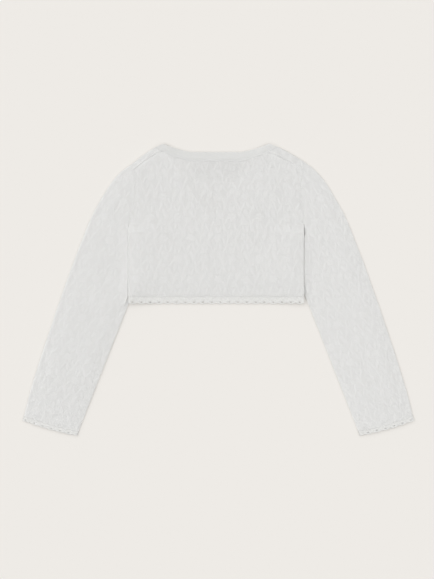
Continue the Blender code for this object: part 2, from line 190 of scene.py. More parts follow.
def armholeX(side, y):
    share = np.clip((y - cut["underarmY"]) / (tipYOf(side) - cut["underarmY"]), 0.0, 1.0)
    return mix(sideX(side), side * cut["tipX"], share) - side * cut["armholeBow"] * bulge(share)


def bodyEdgeX(side, y):
    above = armholeX(side, y) - side * cut["armholeGap"]
    below = sideX(side) - side * cut["foldIn"]
    blend = ease((y - cut["underarmY"] + cut["edgeBlend"]) / cut["edgeBlend"])
    return mix(below, above, blend)


def shoulderY(side, x):
    neckX = cut["middleX"] + side * cut["halfNeck"]
    share = np.clip((x - neckX) / (side * cut["tipX"] - neckX), 0.0, 1.0)
    return mix(cut["neckPointY"], tipYOf(side), share ** cut["shoulderCurve"])


def bandCorner(side):
    x = cut["middleX"] + side * (cut["halfNeck"] + cut["band"])
    return x, shoulderY(side, x)


def neckEdgeY(share):
    flat = cut["neckFlatHalf"]
    turned = np.clip((np.abs(share) * cut["halfNeck"] - flat) / (cut["halfNeck"] - flat), 0.0, 1.0)
    return mix(cut["neckFlatY"], cut["neckPointY"], turned ** cut["neckCurve"])


def neckSeamY(side, x):
    cornerX, cornerY = bandCorner(side)
    flat = cut["neckFlatHalf"]
    reach = abs(cornerX - cut["middleX"])
    turned = np.clip((np.abs(x - cut["middleX"]) - flat) / (reach - flat), 0.0, 1.0)
    return mix(cut["neckFlatY"] - cut["band"], cornerY, turned ** cut["neckCurve"])


def frontEdgeX(side, y):
    meet = cut["middleX"] + cut["frontMeet"] + side * cut["seamGap"]
    rise = np.clip((y - cut["vPointY"]) / (cut["neckPointY"] - cut["vPointY"]), 0.0, 1.0)
    return mix(meet, cut["middleX"] + side * cut["halfNeck"], rise ** cut["vCurve"])


def bandSeamX(side, y):
    cornerX, cornerY = bandCorner(side)
    rise = np.clip((y - cut["vSeamY"]) / (cornerY - cut["vSeamY"]), 0.0, 1.0)
    start = cut["middleX"] + cut["frontMeet"] + side * (cut["seamGap"] + cut["band"])
    return mix(start, cornerX, rise ** cut["vCurve"])


def looseFoldX(side, y):
    # The sleeve's inner fold where the sleeve lies free of the body
    return side * (sleeveCut["foldX"] + sleeveCut["foldSlope"] * (sleeveCut["foldY"] - y))


def innerFoldX(side, y):
    beside = sideX(side) + side * np.where(side > 0, sleeveCut["beside"][1], sleeveCut["beside"][-1])
    top, end = sleeveCut["tuckTopY"], sleeveCut["tuckEndY"]
    held = np.clip((y - end) / (top - end), 0.0, 1.0) ** sleeveCut["tuckCurve"]
    return np.where(y >= top, beside, looseFoldX(side, y) + (beside - looseFoldX(side, top)) * held)


# Heights above the surface
lay = {
    "lift": 3.9,            # the body lies this high on the tucked sleeves
    "climbX": 60.0,
    "liftStart": 64.0,
    "climbY": 17.0,
    "settle": 0.6,          # beside the sleeve the hem settles back by this share
    "settleTopY": 14.0,
    "settleRun": 30.0,
    "settleIn": 4.0,
    "settleWidth": 22.0,
    "seamRoll": 12.0,
    "vSag": 0.9,
    "vSagWidth": 18.0,
    "wave": 0.15,           # slow waves in the cloth
    "waveSize": 42.0,
}


def sideOf(x):
    return np.where(x > cut["middleX"], 1.0, -1.0)


def insideSide(x):
    # How far inside the body's nearer side
    return sideOf(x) * (sideX(sideOf(x)) - x)


def foldHeight(x, y, folds):
    rise = np.zeros_like(x)
    for foldX, foldY, length, width, height, degrees in folds:
        angle = math.radians(degrees)
        along = (x - foldX) * math.cos(angle) + (y - foldY) * math.sin(angle)
        across = (y - foldY) * math.cos(angle) - (x - foldX) * math.sin(angle)
        rise += height * ease(1.0 - np.abs(2.0 * along / length)) * ease(1.0 - np.abs(2.0 * across / width))
    return rise


def slowWave(x, y):
    return lay["wave"] * softNoise(x, y, lay["waveSize"], 4.0)


def frontHeight(x, y):
    side = sideOf(x)
    insideFold = side * (x - innerFoldX(side, y))
    across = ease((insideFold + lay["liftStart"]) / lay["climbX"])
    settled = ease((lay["settleTopY"] - y) / lay["settleRun"])
    settled = settled * ease((lay["settleIn"] - insideFold) / lay["settleWidth"])
    lifted = lay["lift"] * across * ease((cut["underarmY"] - y) / lay["climbY"])
    return lifted * (1.0 - lay["settle"] * settled)


def insideV(x, y):
    side = sideOf(x)
    return np.where(y > cut["vPointY"], side * (frontEdgeX(side, y) - x), 0.0)


def backHeight(x, y):
    side = sideOf(x)
    toSide = np.abs(sideX(side) - x) + 2.0 * np.maximum(y - cut["underarmY"], 0.0)
    neckX = cut["middleX"] + side * cut["halfNeck"]
    toShoulder = shoulderY(side, x) - y + np.maximum(side * (neckX - x), 0.0)
    distance = np.maximum(np.minimum(toSide, toShoulder), 0.0)
    gap = mix(cut["seamGap"], cut["layerGap"], ease(distance / lay["seamRoll"]))
    sag = lay["vSag"] * ease(insideV(x, y) / lay["vSagWidth"])
    return frontHeight(x, y) + cut["wall"] + gap + foldHeight(x, y, clothFolds) - sag


# The lace: waving stems with paired leaves, blossoms between them and small rings, on a fine net
lace = {
    "repeatX": 41.0,
    "repeatY": 62.0,
    "depth": 0.24,          # the net lies this far under the figures
    "thickness": 0.9,       # of the figures
    "softness": 1.2,        # a figure's edge rises over this width
    "warp": 1.1,            # the repeats wander by this much
    "warpSize": (130.0, 110.0),
    "stemSway": 4.2,
    "stemWidth": 1.5,
    "stemRise": 0.85,
    "leavesPerStem": 6,
    "leaf": (12.5, 4.0),    # length and width
    "leafSizes": (0.9, 0.2, 2.6),   # least size, what is added, and how fast it changes along the stem
    "leafBelly": 0.75,
    "leafTaper": 0.2,
    "vein": (0.4, 0.5),     # depth and width
    "veinEnd": (1.2, 1.4),  # it fades where the share along the leaf times the second passes the first
    "leafLean": 21.0,
    "leafFromStem": (3.6, 4.5),
    "blossom": 6.4,
    "petals": 6,
    "petal": (0.55, 0.45, 0.6),         # share kept between the petals, share added, roundness
    "petalGroove": (0.75, 0.34, 0.3),   # depth, start and width, in shares of a petal
    "grooveFromEye": (0.25, 1.2),       # share of the radius, and width of its start
    "eye": (0.85, 0.24, 0.7),           # depth, share of the radius, and width of its edge
    "sprigLeaf": (11.0, 3.2),
    "sprigLean": 16.0,
    "sprigFromBlossom": (3.0, 13.0),
    "ringFromBlossom": 22.0,
    "ring": (2.2, 1.1),     # radius and width
    "ringRise": 0.9,
    "dotPitch": (10.2, 5.3),
    "dot": 0.75,
    "dotRise": 0.6,
}


def wrapped(value, repeat):
    return (value + repeat / 2.0) % repeat - repeat / 2.0


def fromSpot(u, v, x, y):
    return wrapped(u - x, lace["repeatX"]), wrapped(v - y, lace["repeatY"])


def soften(inside):
    return ease(0.5 + inside / lace["softness"])


def leafShape(u, v, x, y, lean, length, width):
    # A pointed leaf with a vein. lean is its angle from upright, in degrees.
    du, dv = fromSpot(u, v, x, y)
    angle = math.radians(90.0 - lean)
    along = (du * math.cos(angle) + dv * math.sin(angle)) / (length / 2.0)
    across = dv * math.cos(angle) - du * math.sin(angle)
    belly = np.clip(1.0 - along * along, 0.0, 1.0) ** lace["leafBelly"]
    half = width / 2.0 * belly * (1.0 - lace["leafTaper"] * along)
    inside = np.where(np.abs(along) < 1.0, half - np.abs(across), -1.0)
    deep, wide = lace["vein"]
    end, fall = lace["veinEnd"]
    vein = deep * np.exp(-((across / wide) ** 2)) * ease(end - np.abs(along) * fall)
    return soften(inside) * (1.0 - vein)


def blossomShape(u, v, x, y, radius, petals, turn):
    # Petals round an open eye, with a groove between them
    du, dv = fromSpot(u, v, x, y)
    reach = np.hypot(du, dv)
    petal = np.abs(np.cos(petals / 2.0 * (np.arctan2(dv, du) - turn)))
    kept, added, roundness = lace["petal"]
    edge = radius * (kept + added * petal ** roundness)
    deep, start, over = lace["petalGroove"]
    fromEye, fade = lace["grooveFromEye"]
    groove = ease((start - petal) / over) * ease((reach - fromEye * radius) / fade)
    eyeDepth, eyeSize, eyeEdge = lace["eye"]
    eye = eyeDepth * ease((eyeSize * radius - reach) / eyeEdge)
    return soften(edge - reach) * (1.0 - deep * groove) * (1.0 - eye)


def ringShape(u, v, x, y, radius, width):
    du, dv = fromSpot(u, v, x, y)
    return soften(width / 2.0 - np.abs(np.hypot(du, dv) - radius))


def stemFigure(u, v, stemX, way):
    # A waving stem with a leaf to each side in turn
    wide, tall = lace["repeatX"], lace["repeatY"]
    sway = way * lace["stemSway"]
    turns = 2.0 * math.pi * v / tall
    away = wrapped(u - stemX - sway * np.sin(turns), wide)
    slope = sway * 2.0 * math.pi / tall * np.cos(turns)
    distance = np.abs(away) / np.hypot(1.0, slope)
    figure = lace["stemRise"] * soften(lace["stemWidth"] / 2.0 - distance)
    besideX, besideY = lace["leafFromStem"]
    for step in range(lace["leavesPerStem"]):
        leafY = tall * (step + 0.5) / lace["leavesPerStem"]
        leafSide = 1.0 if step % 2 else -1.0
        leafX = stemX + sway * math.sin(2.0 * math.pi * leafY / tall) + besideX * leafSide
        least, added, change = lace["leafSizes"]
        size = least + added * math.sin(change * step + stemX)
        length, width = (size * value for value in lace["leaf"])
        leaf = leafShape(u, v, leafX, leafY + besideY, lace["leafLean"] * leafSide, length, width)
        figure = np.maximum(figure, leaf)
    return figure


def blossomFigure(u, v, flowerX, flowerY, turn):
    # A blossom with a pair of leaves and a small ring above and below
    figure = blossomShape(u, v, flowerX, flowerY, lace["blossom"], lace["petals"], turn)
    besideX, besideY = lace["sprigFromBlossom"]
    for way in (-1, 1):
        for leafSide in (-1.0, 1.0):
            leafX, leafY = flowerX + besideX * leafSide * way, flowerY + way * besideY
            leaf = leafShape(u, v, leafX, leafY, lace["sprigLean"] * leafSide, *lace["sprigLeaf"])
            figure = np.maximum(figure, leaf)
        ringY = flowerY + way * lace["ringFromBlossom"]
        figure = np.maximum(figure, lace["ringRise"] * ringShape(u, v, flowerX, ringY, *lace["ring"]))
    return figure


def laceFigure(u, v):
    # 1 on a figure, 0 on the net. u and v are mm on the cloth.
    u = u + lace["warp"] * softNoise(u, v, lace["warpSize"][0], 1.0)
    v = v + lace["warp"] * softNoise(u, v, lace["warpSize"][1], 2.0)
    wide, tall = lace["repeatX"], lace["repeatY"]
    figure = np.zeros_like(u)
    for share, way in ((0.25, 1.0), (0.75, -1.0)):
        figure = np.maximum(figure, stemFigure(u, v, share * wide, way))
    for shareX, shareY, turn in ((0.5, 0.75, 0.3), (0.0, 0.25, 1.1)):
        figure = np.maximum(figure, blossomFigure(u, v, shareX * wide, shareY * tall, turn))
    # Single dots fill the net, each row half a step along
    pitchX, pitchY = lace["dotPitch"]
    dotU = (u + pitchX / 2.0 * np.floor(v / pitchY)) % pitchX - pitchX / 2.0
    dotV = v % pitchY - pitchY / 2.0
    return np.maximum(figure, lace["dotRise"] * soften(lace["dot"] - np.hypot(dotU, dotV)))


# Mesh makers
coarse = 4                  # the unseen inner side of a cloth wall is this many times as coarse
mergeWithin = 0.000002      # metres
uvScale = 0.1               # the cloth's coordinates are in cm
sharpFrom = 60.0            # degrees between two faces


def evenValues(shape, figure=1.0, shade=0.0):
    return {"figure": np.full(shape, figure), "shade": np.full(shape, shade)}


def makeObject(name, points, faces, uv, values):
    mesh = bpy.data.meshes.new(name)
    placed = np.array(points, float) * mm
    placed[:, 1] -= cut["pageMiddleY"] * mm
    mesh.from_pydata(placed.tolist(), [], faces)
    mesh.update()
    corner = np.zeros(len(mesh.loops), np.int32)
    mesh.loops.foreach_get("vertex_index", corner)
    layer = mesh.uv_layers.new(name="clothUV")
    layer.data.foreach_set("uv", (np.array(uv, float)[corner] * uvScale).astype(np.float32).ravel())
    for key, value in values.items():
        attribute = mesh.attributes.new(key, "FLOAT", "POINT")
        attribute.data.foreach_set("value", np.array(value, np.float32).ravel())
    mesh.shade_smooth()
    mesh.set_sharp_from_angle(angle=math.radians(sharpFrom))
    piece = bpy.data.objects.new(name, mesh)
    bpy.context.scene.collection.objects.link(piece)
    return piece


def inEditMode(piece, change):
    # Does one change to the whole mesh
    bpy.ops.object.select_all(action="DESELECT")
    piece.select_set(True)
    bpy.context.view_layer.objects.active = piece
    bpy.ops.object.mode_set(mode="EDIT")
    bpy.ops.mesh.select_all(action="SELECT")
    change()
    bpy.ops.object.mode_set(mode="OBJECT")


def turnOut():
    bpy.ops.mesh.normals_make_consistent(inside=False)


def mergeSeam():
    bpy.ops.mesh.remove_doubles(threshold=mergeWithin)


def dropLoose():
    bpy.ops.mesh.select_all(action="DESELECT")
    bpy.ops.mesh.select_mode(type="VERT")
    bpy.ops.mesh.select_loose()
    bpy.ops.mesh.delete(type="VERT")


def gridFaces(index):
    return at(index[:-1, :-1], index[:-1, 1:], index[1:, 1:], index[1:, :-1])


def shell(name, outer, inner, uv, values, turned=False, wraps=False):
    # A cloth wall: a fine outer grid, a coarse inner grid, and the rims between them
    outerIndex = np.arange(outer[..., 0].size).reshape(outer.shape[:2])
    innerIndex = np.arange(inner[..., 0].size).reshape(inner.shape[:2]) + outerIndex.size
    faces = gridFaces(outerIndex).reshape(-1, 4).tolist()
    faces += gridFaces(innerIndex.T).reshape(-1, 4).tolist()
    rims = [(outerIndex[0], innerIndex[0]), (outerIndex[-1][::-1], innerIndex[-1][::-1])]
    if not wraps:
        rims.append((outerIndex[:, -1], innerIndex[:, -1]))
        rims.append((outerIndex[:, 0][::-1], innerIndex[:, 0][::-1]))
    for fine, plain in rims:
        for place in range(len(plain) - 1):
            first, second = int(plain[place]), int(plain[place + 1])
            spots = [int(index) for index in fine[place * coarse:place * coarse + coarse + 1]]
            for number in range(coarse):
                near = first if number < coarse // 2 else second
                faces.append([spots[number + 1], spots[number], near])
            faces.append([spots[coarse // 2], first, second])
    if turned:
        faces = [face[::-1] for face in faces]
    points = np.concatenate([outer.reshape(-1, 3), inner.reshape(-1, 3)])
    allUv = np.concatenate([uv.reshape(-1, 2), uv[::coarse, ::coarse].reshape(-1, 2)])
    allValues = {}
    for key, value in values.items():
        allValues[key] = np.concatenate([value.ravel(), np.zeros(innerIndex.size)])
    piece = makeObject(name, points, faces, allUv, allValues)
    if wraps:
        inEditMode(piece, mergeSeam)
    return piece


def loft(name, rings, uv, figure=1.0, shade=0.0, closed=False):
    # A skin over rings of points, one for each place along a path. An open one is closed by its end rings.
    index = np.arange(rings[..., 0].size).reshape(rings.shape[:2])
    ahead = np.roll(index, -1, axis=0)
    skin = at(index, ahead, np.roll(ahead, -1, axis=1), np.roll(index, -1, axis=1))
    faces = skin[:None if closed else -1].reshape(-1, 4).tolist()
    if not closed:
        faces += [index[0].tolist(), index[-1][::-1].tolist()]
    values = {"figure": np.full(index.shape, figure), "shade": np.zeros(index.shape) + shade}
    return makeObject(name, rings.reshape(-1, 3), faces, uv.reshape(-1, 2), values)


def tube(name, path, radius, closed=False, shade=0.0, sides=8):
    # A round cord along a path of points
    if closed:
        ahead = np.roll(path, -1, axis=0) - np.roll(path, 1, axis=0)
    else:
        ahead = np.gradient(path, axis=0)
    ahead /= np.linalg.norm(ahead, axis=1)[:, None]
    across = np.cross(ahead, (0.0, 0.0, 1.0))
    across /= np.linalg.norm(across, axis=1)[:, None]
    up = np.cross(across, ahead)
    angles = 2.0 * math.pi * np.arange(sides) / sides
    ring = np.cos(angles)[None, :, None] * across[:, None, :] * radius
    ring = ring + np.sin(angles)[None, :, None] * up[:, None, :] * radius
    uv = at(*np.meshgrid(runAlong(path), angles * radius, indexing="ij"))
    return loft(name, path[:, None, :] + ring, uv, shade=shade, closed=closed)


def alongPath(path, spacing):
    # Points at even spacing along a path
    run = runAlong(path)
    count = max(int(round(run[-1] / spacing)), 2)
    spots = np.linspace(0.0, run[-1], count + 1)
    return at(*(np.interp(spots, run, path[:, axis]) for axis in range(3)))


stitchLook = {
    "length": 2.6,
    "pitch": 3.4,
    "width": 0.42,
    "flat": 0.6,            # height over width
    "sides": 6,
    "rings": ((-0.5, 0.5, -0.18), (-0.25, 1.0, 0.02), (0.25, 1.0, 0.02), (0.5, 0.5, -0.18)),
}


def stitches(name, path):
    # A row of small raised stitches, each a low bead with its ends in the cloth.
    # Its rings give the share of its length, the share of its width and the rise.
    spots = alongPath(path, stitchLook["pitch"])
    sides, width, rings = stitchLook["sides"], stitchLook["width"], stitchLook["rings"]
    points, faces = [], []
    for place in range(len(spots) - 1):
        ahead = spots[place + 1] - spots[place]
        ahead /= np.linalg.norm(ahead)
        across = np.cross(ahead, (0.0, 0.0, 1.0))
        middle = (spots[place] + spots[place + 1]) / 2.0
        base = len(points)
        for reach, size, dip in rings:
            centre = middle + ahead * reach * stitchLook["length"] + np.array((0.0, 0.0, dip))
            for number in range(sides):
                angle = 2.0 * math.pi * number / sides
                rise = np.array((0.0, 0.0, math.sin(angle) * width * size * stitchLook["flat"]))
                points.append(centre + across * math.cos(angle) * width * size + rise)
        for row in range(len(rings) - 1):
            for number in range(sides):
                other = (number + 1) % sides
                a, b = base + row * sides + number, base + row * sides + other
                faces.append([a, a + sides, b + sides, b])
        faces.append([base + number for number in range(sides)])
        last = base + (len(rings) - 1) * sides
        faces.append([last + number for number in range(sides)][::-1])
    points = np.array(points)
    return makeObject(name, points, faces, points[:, :2], evenValues(len(points)))


# Materials
def addNode(tree, kind, values=None, **settings):
    node = tree.nodes.new(kind)
    for key, value in settings.items():
        setattr(node, key, value)
    for key, value in (values or {}).items():
        node.inputs[key].default_value = value
    return node


def wire(tree, *links):
    # Each link is a node, its output, the next node and its input
    for start, output, end, entry in links:
        tree.links.new(start.outputs[output], end.inputs[entry])


def makeGroup(name, scale, outputs):
    # A shared effect that takes cloth coordinates and a scale
    tree = bpy.data.node_groups.new(name, "ShaderNodeTree")
    tree.interface.new_socket(name="Vector", in_out="INPUT", socket_type="NodeSocketVector")
    socket = tree.interface.new_socket(name="Scale", in_out="INPUT", socket_type="NodeSocketFloat")
    socket.default_value = scale
    for label in outputs:
        tree.interface.new_socket(name=label, in_out="OUTPUT", socket_type="NodeSocketFloat")
    return tree, tree.nodes.new("NodeGroupInput"), tree.nodes.new("NodeGroupOutput")


def netGroup():
    # Fine net: Hole is 1 in the middle of a mesh, where the material paints shade, Height is the thread
    tree, start, end = makeGroup("laceNet", 8.0, ("Hole", "Height"))
    cells = addNode(tree, "ShaderNodeTexVoronoi", {"Randomness": 0.45}, voronoi_dimensions="2D",
                    feature="DISTANCE_TO_EDGE")
    hole = addNode(tree, "ShaderNodeMapRange", {"From Min": 0.08, "From Max": 0.28})
    height = addNode(tree, "ShaderNodeMath", {0: 1.0}, operation="SUBTRACT")
    wire(tree, (start, "Vector", cells, "Vector"), (start, "Scale", cells, "Scale"),
         (cells, "Distance", hole, "Value"), (hole, "Result", height, 1),
         (hole, "Result", end, "Hole"), (height, "Value", end, "Height"))
    return tree


def yarnGroup():
    # Twisted yarn: fine slanted bands broken by noise. Tone is a slow colour change.
    tree, start, end = makeGroup("yarnGrain", 9.0, ("Height", "Tone"))
    bands = addNode(tree, "ShaderNodeTexWave", {"Distortion": 3.0, "Detail": 1.0, "Detail Scale": 2.0},
                    wave_type="BANDS", bands_direction="DIAGONAL")
    slow = addNode(tree, "ShaderNodeTexNoise", {"Scale": 0.35, "Detail": 2.0})
    wire(tree, (start, "Vector", bands, "Vector"), (start, "Scale", bands, "Scale"),
         (start, "Vector", slow, "Vector"), (bands, "Fac", end, "Height"), (slow, "Fac", end, "Tone"))
    return tree


netTree = netGroup()
yarnTree = yarnGroup()


def clothMaterial(name, look):
    material = bpy.data.materials.new(name)
    material.use_nodes = True
    tree = material.node_tree
    shader = tree.nodes["Principled BSDF"]
    finish = {
        "Roughness": look["roughness"],
        "Specular IOR Level": 0.25,
        "Subsurface Weight": look["glow"],
        "Subsurface Radius": (1.0, 1.0, 0.97),
        "Subsurface Scale": look["glowDepth"],
        "Sheen Weight": look["sheen"],
        "Sheen Roughness": 0.6,
    }
    for socket, value in finish.items():
        shader.inputs[socket].default_value = value
    netColor, holeShadeColor, figureColor = (look[part] + (1.0,) for part in ("net", "hole", "figure"))
    cloth = addNode(tree, "ShaderNodeUVMap", uv_map="clothUV")
    figure = addNode(tree, "ShaderNodeAttribute", attribute_name="figure")
    shade = addNode(tree, "ShaderNodeAttribute", attribute_name="shade")
    net = addNode(tree, "ShaderNodeGroup", node_tree=netTree)
    yarn = addNode(tree, "ShaderNodeGroup", node_tree=yarnTree)
    net.inputs["Scale"].default_value = look["netScale"]
    yarn.inputs["Scale"].default_value = look["yarnScale"]
    # The net's holes are painted darker, as painted shade
    ground = addNode(tree, "ShaderNodeMix", {6: netColor, 7: holeShadeColor}, data_type="RGBA")
    raised = addNode(tree, "ShaderNodeMix", {7: figureColor}, data_type="RGBA")
    toneRange = addNode(tree, "ShaderNodeMapRange", {"To Min": 1.0 - look["toneChange"], "To Max": 1.0})
    # Painted shade and painted light: the shade attribute darkens or lightens the base colour
    shadeRange = addNode(tree, "ShaderNodeMapRange", {"To Min": 1.0, "To Max": 1.0 - look["paintedShadeScale"]},
                         clamp=False)
    both = addNode(tree, "ShaderNodeMath", operation="MULTIPLY")
    toned = addNode(tree, "ShaderNodeVectorMath", operation="SCALE")
    wire(tree, (cloth, "UV", net, "Vector"), (cloth, "UV", yarn, "Vector"), (net, "Hole", ground, 0),
         (figure, "Fac", raised, 0), (ground, 2, raised, 6), (yarn, "Tone", toneRange, "Value"),
         (shade, "Fac", shadeRange, "Value"), (toneRange, "Result", both, 0), (shadeRange, "Result", both, 1),
         (raised, 2, toned, 0), (both, "Value", toned, "Scale"), (toned, "Vector", shader, "Base Color"))
    # Thin cloth lets a part of the light through, so its shadows are light
    rays = addNode(tree, "ShaderNodeLightPath")
    veil = addNode(tree, "ShaderNodeMapRange", {"To Min": 1.0, "To Max": 1.0 - look["letThrough"]})
    wire(tree, (rays, "Is Shadow Ray", veil, "Value"), (veil, "Result", shader, "Alpha"))
    # Net between the figures, yarn on them
    height = addNode(tree, "ShaderNodeMix", data_type="FLOAT")
    bump = addNode(tree, "ShaderNodeBump", {"Strength": look["bump"], "Distance": 0.0004})
    wire(tree, (figure, "Fac", height, 0), (net, "Height", height, 2), (yarn, "Height", height, 3),
         (height, 0, bump, "Height"), (bump, "Normal", shader, "Normal"))
    return material


# net and figure are the colours of the ground's threads and of the raised figures. hole is the net's colour
# darkened as painted shade in its holes.
# The scale of painted shade: how much darker the cloth is painted where shade is 1, and paler, as painted
# light, where shade is negative. letThrough is the light that passes it.
looks = {
    "lace": {
        "net": (0.831, 0.832, 0.817), "hole": (0.822, 0.823, 0.808), "figure": (0.837, 0.838, 0.824),
        "roughness": 0.82, "glow": 0.5, "glowDepth": 0.003, "sheen": 0.08, "netScale": 8.0,
        "yarnScale": 4.5, "toneChange": 0.03, "paintedShadeScale": 0.06, "bump": 0.5, "letThrough": 0.6,
    },
    "binding": {
        "net": (0.724, 0.726, 0.717), "hole": (0.716, 0.718, 0.709), "figure": (0.724, 0.726, 0.717),
        "roughness": 0.8, "glow": 0.6, "glowDepth": 0.0015, "sheen": 0.08, "netScale": 12.0,
        "yarnScale": 6.0, "toneChange": 0.02, "paintedShadeScale": 0.06, "bump": 0.3, "letThrough": 0.45,
    },
    "edging": {
        "net": (0.76, 0.76, 0.745), "hole": (0.75, 0.75, 0.735), "figure": (0.79, 0.79, 0.775),
        "roughness": 0.8, "glow": 0.5, "glowDepth": 0.0008, "sheen": 0.05, "netScale": 12.0,
        "yarnScale": 7.0, "toneChange": 0.02, "paintedShadeScale": 0.06, "bump": 0.4, "letThrough": 0.65,
    },
    "label": {
        "net": (0.68, 0.68, 0.67), "hole": (0.67, 0.67, 0.66), "figure": (0.69, 0.69, 0.68),
        "roughness": 0.5, "glow": 0.2, "glowDepth": 0.001, "sheen": 0.0, "netScale": 20.0,
        "yarnScale": 9.0, "toneChange": 0.01, "paintedShadeScale": 0.0, "bump": 0.2, "letThrough": 0.1,
    },
}
materials = {slot: clothMaterial(slot + "Cloth", look) for slot, look in looks.items()}
print("materials ready")


def dress(piece, slot, node=None):
    piece.data.materials.clear()
    piece.data.materials.append(materials[slot])
    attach(piece, "root")
    if node:
        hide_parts(node)
    return piece


def gridFade(shape, width, rowPitch, columnPitch):
    # 0 at the grid's rim, 1 from width mm inside it
    rows, columns = np.arange(shape[0]), np.arange(shape[1])
    rowEdge = np.minimum(rows, shape[0] - 1 - rows) * rowPitch
    columnEdge = np.minimum(columns, shape[1] - 1 - columns) * columnPitch
    return ease(np.minimum(rowEdge[:, None], columnEdge[None, :]) / width)


def flatArea(grid):
    # Area in square metres of a grid of plan points in mm
    a, b, c, d = grid[:-1, :-1], grid[:-1, 1:], grid[1:, 1:], grid[1:, :-1]
    first, second = c - a, d - b
    crossed = first[..., 0] * second[..., 1] - first[..., 1] * second[..., 0]
    return float(np.abs(crossed).sum() / 2.0) * mm * mm


cutArea = {}        # flat area of each shaped panel, in square metres
rimDrop = 0.14      # a sheet's edge rounds down by this much
rimWidth = 1.6      # and over this width

# Back panel
backLook = {
    "neckSteps": 108,
    "sideSteps": 44,
    "rowsBelow": 128,
    "rowsAbove": 120,
    "stepSize": 0.87,       # about, between the grid's lines
    "shoulderSeam": {1: 12.0, -1: 9.0},     # mm under the shoulder fold
    "seamRidge": (0.35, 1.6),               # height and width
    "seamGroove": (0.45, 0.8),
    "grooveFromSeam": 1.9,
    "seamFade": (4.0, 6.0),     # it ends this far inside the neck's edge, over this width
    "seamClear": 2.5,           # the figures fade by the seam over this width
    "pucker": 0.08,
    "puckerSize": 7.5,
    "puckerReach": 7.0,
    "sideRoll": 0.8,
    "sideRollWidth": 5.0,
    "sideRollTop": (8.0, 16.0),     # it ends this far above the underarm, over this length
    "hemSink": (1.0, 0.28),     # on the panel, and more on its edging
    "hemSinkStart": 22.0,
    "hemSinkWidth": (26.0, 8.0),
    "labelMiddle": (-3.3, 179.0),
    "labelHalf": (35.0, 13.0),
    "labelFade": (8.0, 6.0),
    "labelUneven": (0.5, 21.0),     # its shade changes by this share, over this size
    "labelShade": 0.5,          # painted shade over the label, partly the label's own greyer colour seen through
    "frontShade": 0.25,         # and painted shade over the front's V, where only shadow lies under the back
    "frontFade": 3.0,
}


def bodyTopX(side, share):
    cornerX = bandCorner(side)[0]
    tipX = bodyEdgeX(side, tipYOf(side))
    upNeck = mix(cut["middleX"], cornerX, share / cut["neckShare"])
    alongShoulder = mix(cornerX, tipX, (share - cut["neckShare"]) / (1.0 - cut["neckShare"]))
    return np.where(share <= cut["neckShare"], upNeck, alongShoulder)


def backPlan():
    half = np.concatenate([
        np.linspace(0.0, cut["neckShare"], backLook["neckSteps"] + 1),
        np.linspace(cut["neckShare"], 1.0, backLook["sideSteps"] + 1)[1:],
    ])
    share = np.concatenate([-half[:0:-1], half])
    side = np.where(share < 0.0, -1.0, 1.0)
    share = np.abs(share)
    low = np.linspace(cut["hemSeamY"] + cut["seamGap"] / 2.0, cut["underarmY"], backLook["rowsBelow"] + 1)
    lowX = cut["middleX"] + (bodyEdgeX(side[None, :], low[:, None]) - cut["middleX"]) * share[None, :]
    lowY = np.repeat(low[:, None], len(share), axis=1)
    topX = bodyTopX(side, share)
    fold = shoulderY(side, topX) - cut["foldIn"]
    topY = np.where(share > cut["neckShare"], fold, neckSeamY(side, topX) - cut["seamGap"])
    tipX = bodyEdgeX(side, tipYOf(side))
    topShare = (topX - cut["middleX"]) / (tipX - cut["middleX"])
    climb = (np.arange(1, backLook["rowsAbove"] + 1) / backLook["rowsAbove"])[:, None]
    highY = mix(cut["underarmY"], topY[None, :], climb)
    across = mix(share[None, :], topShare[None, :], climb)
    highX = mix(cut["middleX"], bodyEdgeX(side[None, :], highY), across)
    return np.concatenate([lowX, highX]), np.concatenate([lowY, highY])


def sideDrop(x):
    # A quarter of an ellipse at the side fold
    left = np.clip(1.0 - insideSide(x) / backLook["sideRollWidth"], 0.0, 1.0)
    return backLook["sideRoll"] * (1.0 - np.sqrt(1.0 - left * left))


def hemDrop(x, y):
    # The back sinks onto the front at its hem
    inward = ease(insideSide(x) / lay["seamRoll"])
    onPanel, onEdging = backLook["hemSink"]
    overPanel, overEdging = backLook["hemSinkWidth"]
    panel = onPanel * ease((cut["hemSeamY"] + backLook["hemSinkStart"] - y) / overPanel)
    return inward * (panel + onEdging * ease((cut["hemSeamY"] - y) / overEdging))


def shoulderSeam(side, x, y):
    # The shoulder seam lies behind the fold, as a low ridge with a groove. Gives its rise, and a share
    # that is 0 where the figures stop at it and 1 away from it.
    seamAt = np.where(side > 0, backLook["shoulderSeam"][1], backLook["shoulderSeam"][-1])
    fromSeam = shoulderY(side, x) - y - seamAt
    inNeck, fade = backLook["seamFade"]
    onShoulder = ease((np.abs(x - cut["middleX"]) - cut["halfNeck"] + inNeck) / fade)
    ridge, ridgeWidth = backLook["seamRidge"]
    groove, grooveWidth = backLook["seamGroove"]
    rise = ridge * np.exp(-((fromSeam / ridgeWidth) ** 2))
    rise = rise - groove * np.exp(-(((fromSeam - backLook["grooveFromSeam"]) / grooveWidth) ** 2))
    clear = ease(np.abs(fromSeam - 1.0) / backLook["seamClear"] + 1.0 - onShoulder)
    return rise * onShoulder, clear


def backShade(x, y):
    # Painted shade on the back: over the label, partly its own greyer colour seen through, and over the
    # front's V, where only shadow lies under the back
    labelX, labelY = backLook["labelMiddle"]
    halfX, halfY = backLook["labelHalf"]
    fadeX, fadeY = backLook["labelFade"]
    change, size = backLook["labelUneven"]
    overLabel = ease((halfX - np.abs(x - labelX)) / fadeX + 0.5)
    overLabel = overLabel * ease((halfY - np.abs(y - labelY)) / fadeY + 0.5)
    overLabel = overLabel * (1.0 + change * softNoise(x, y, size, 7.0))
    overFront = ease(insideV(x, y) / backLook["frontFade"])
    return backLook["frontShade"] * overFront + backLook["labelShade"] * overLabel


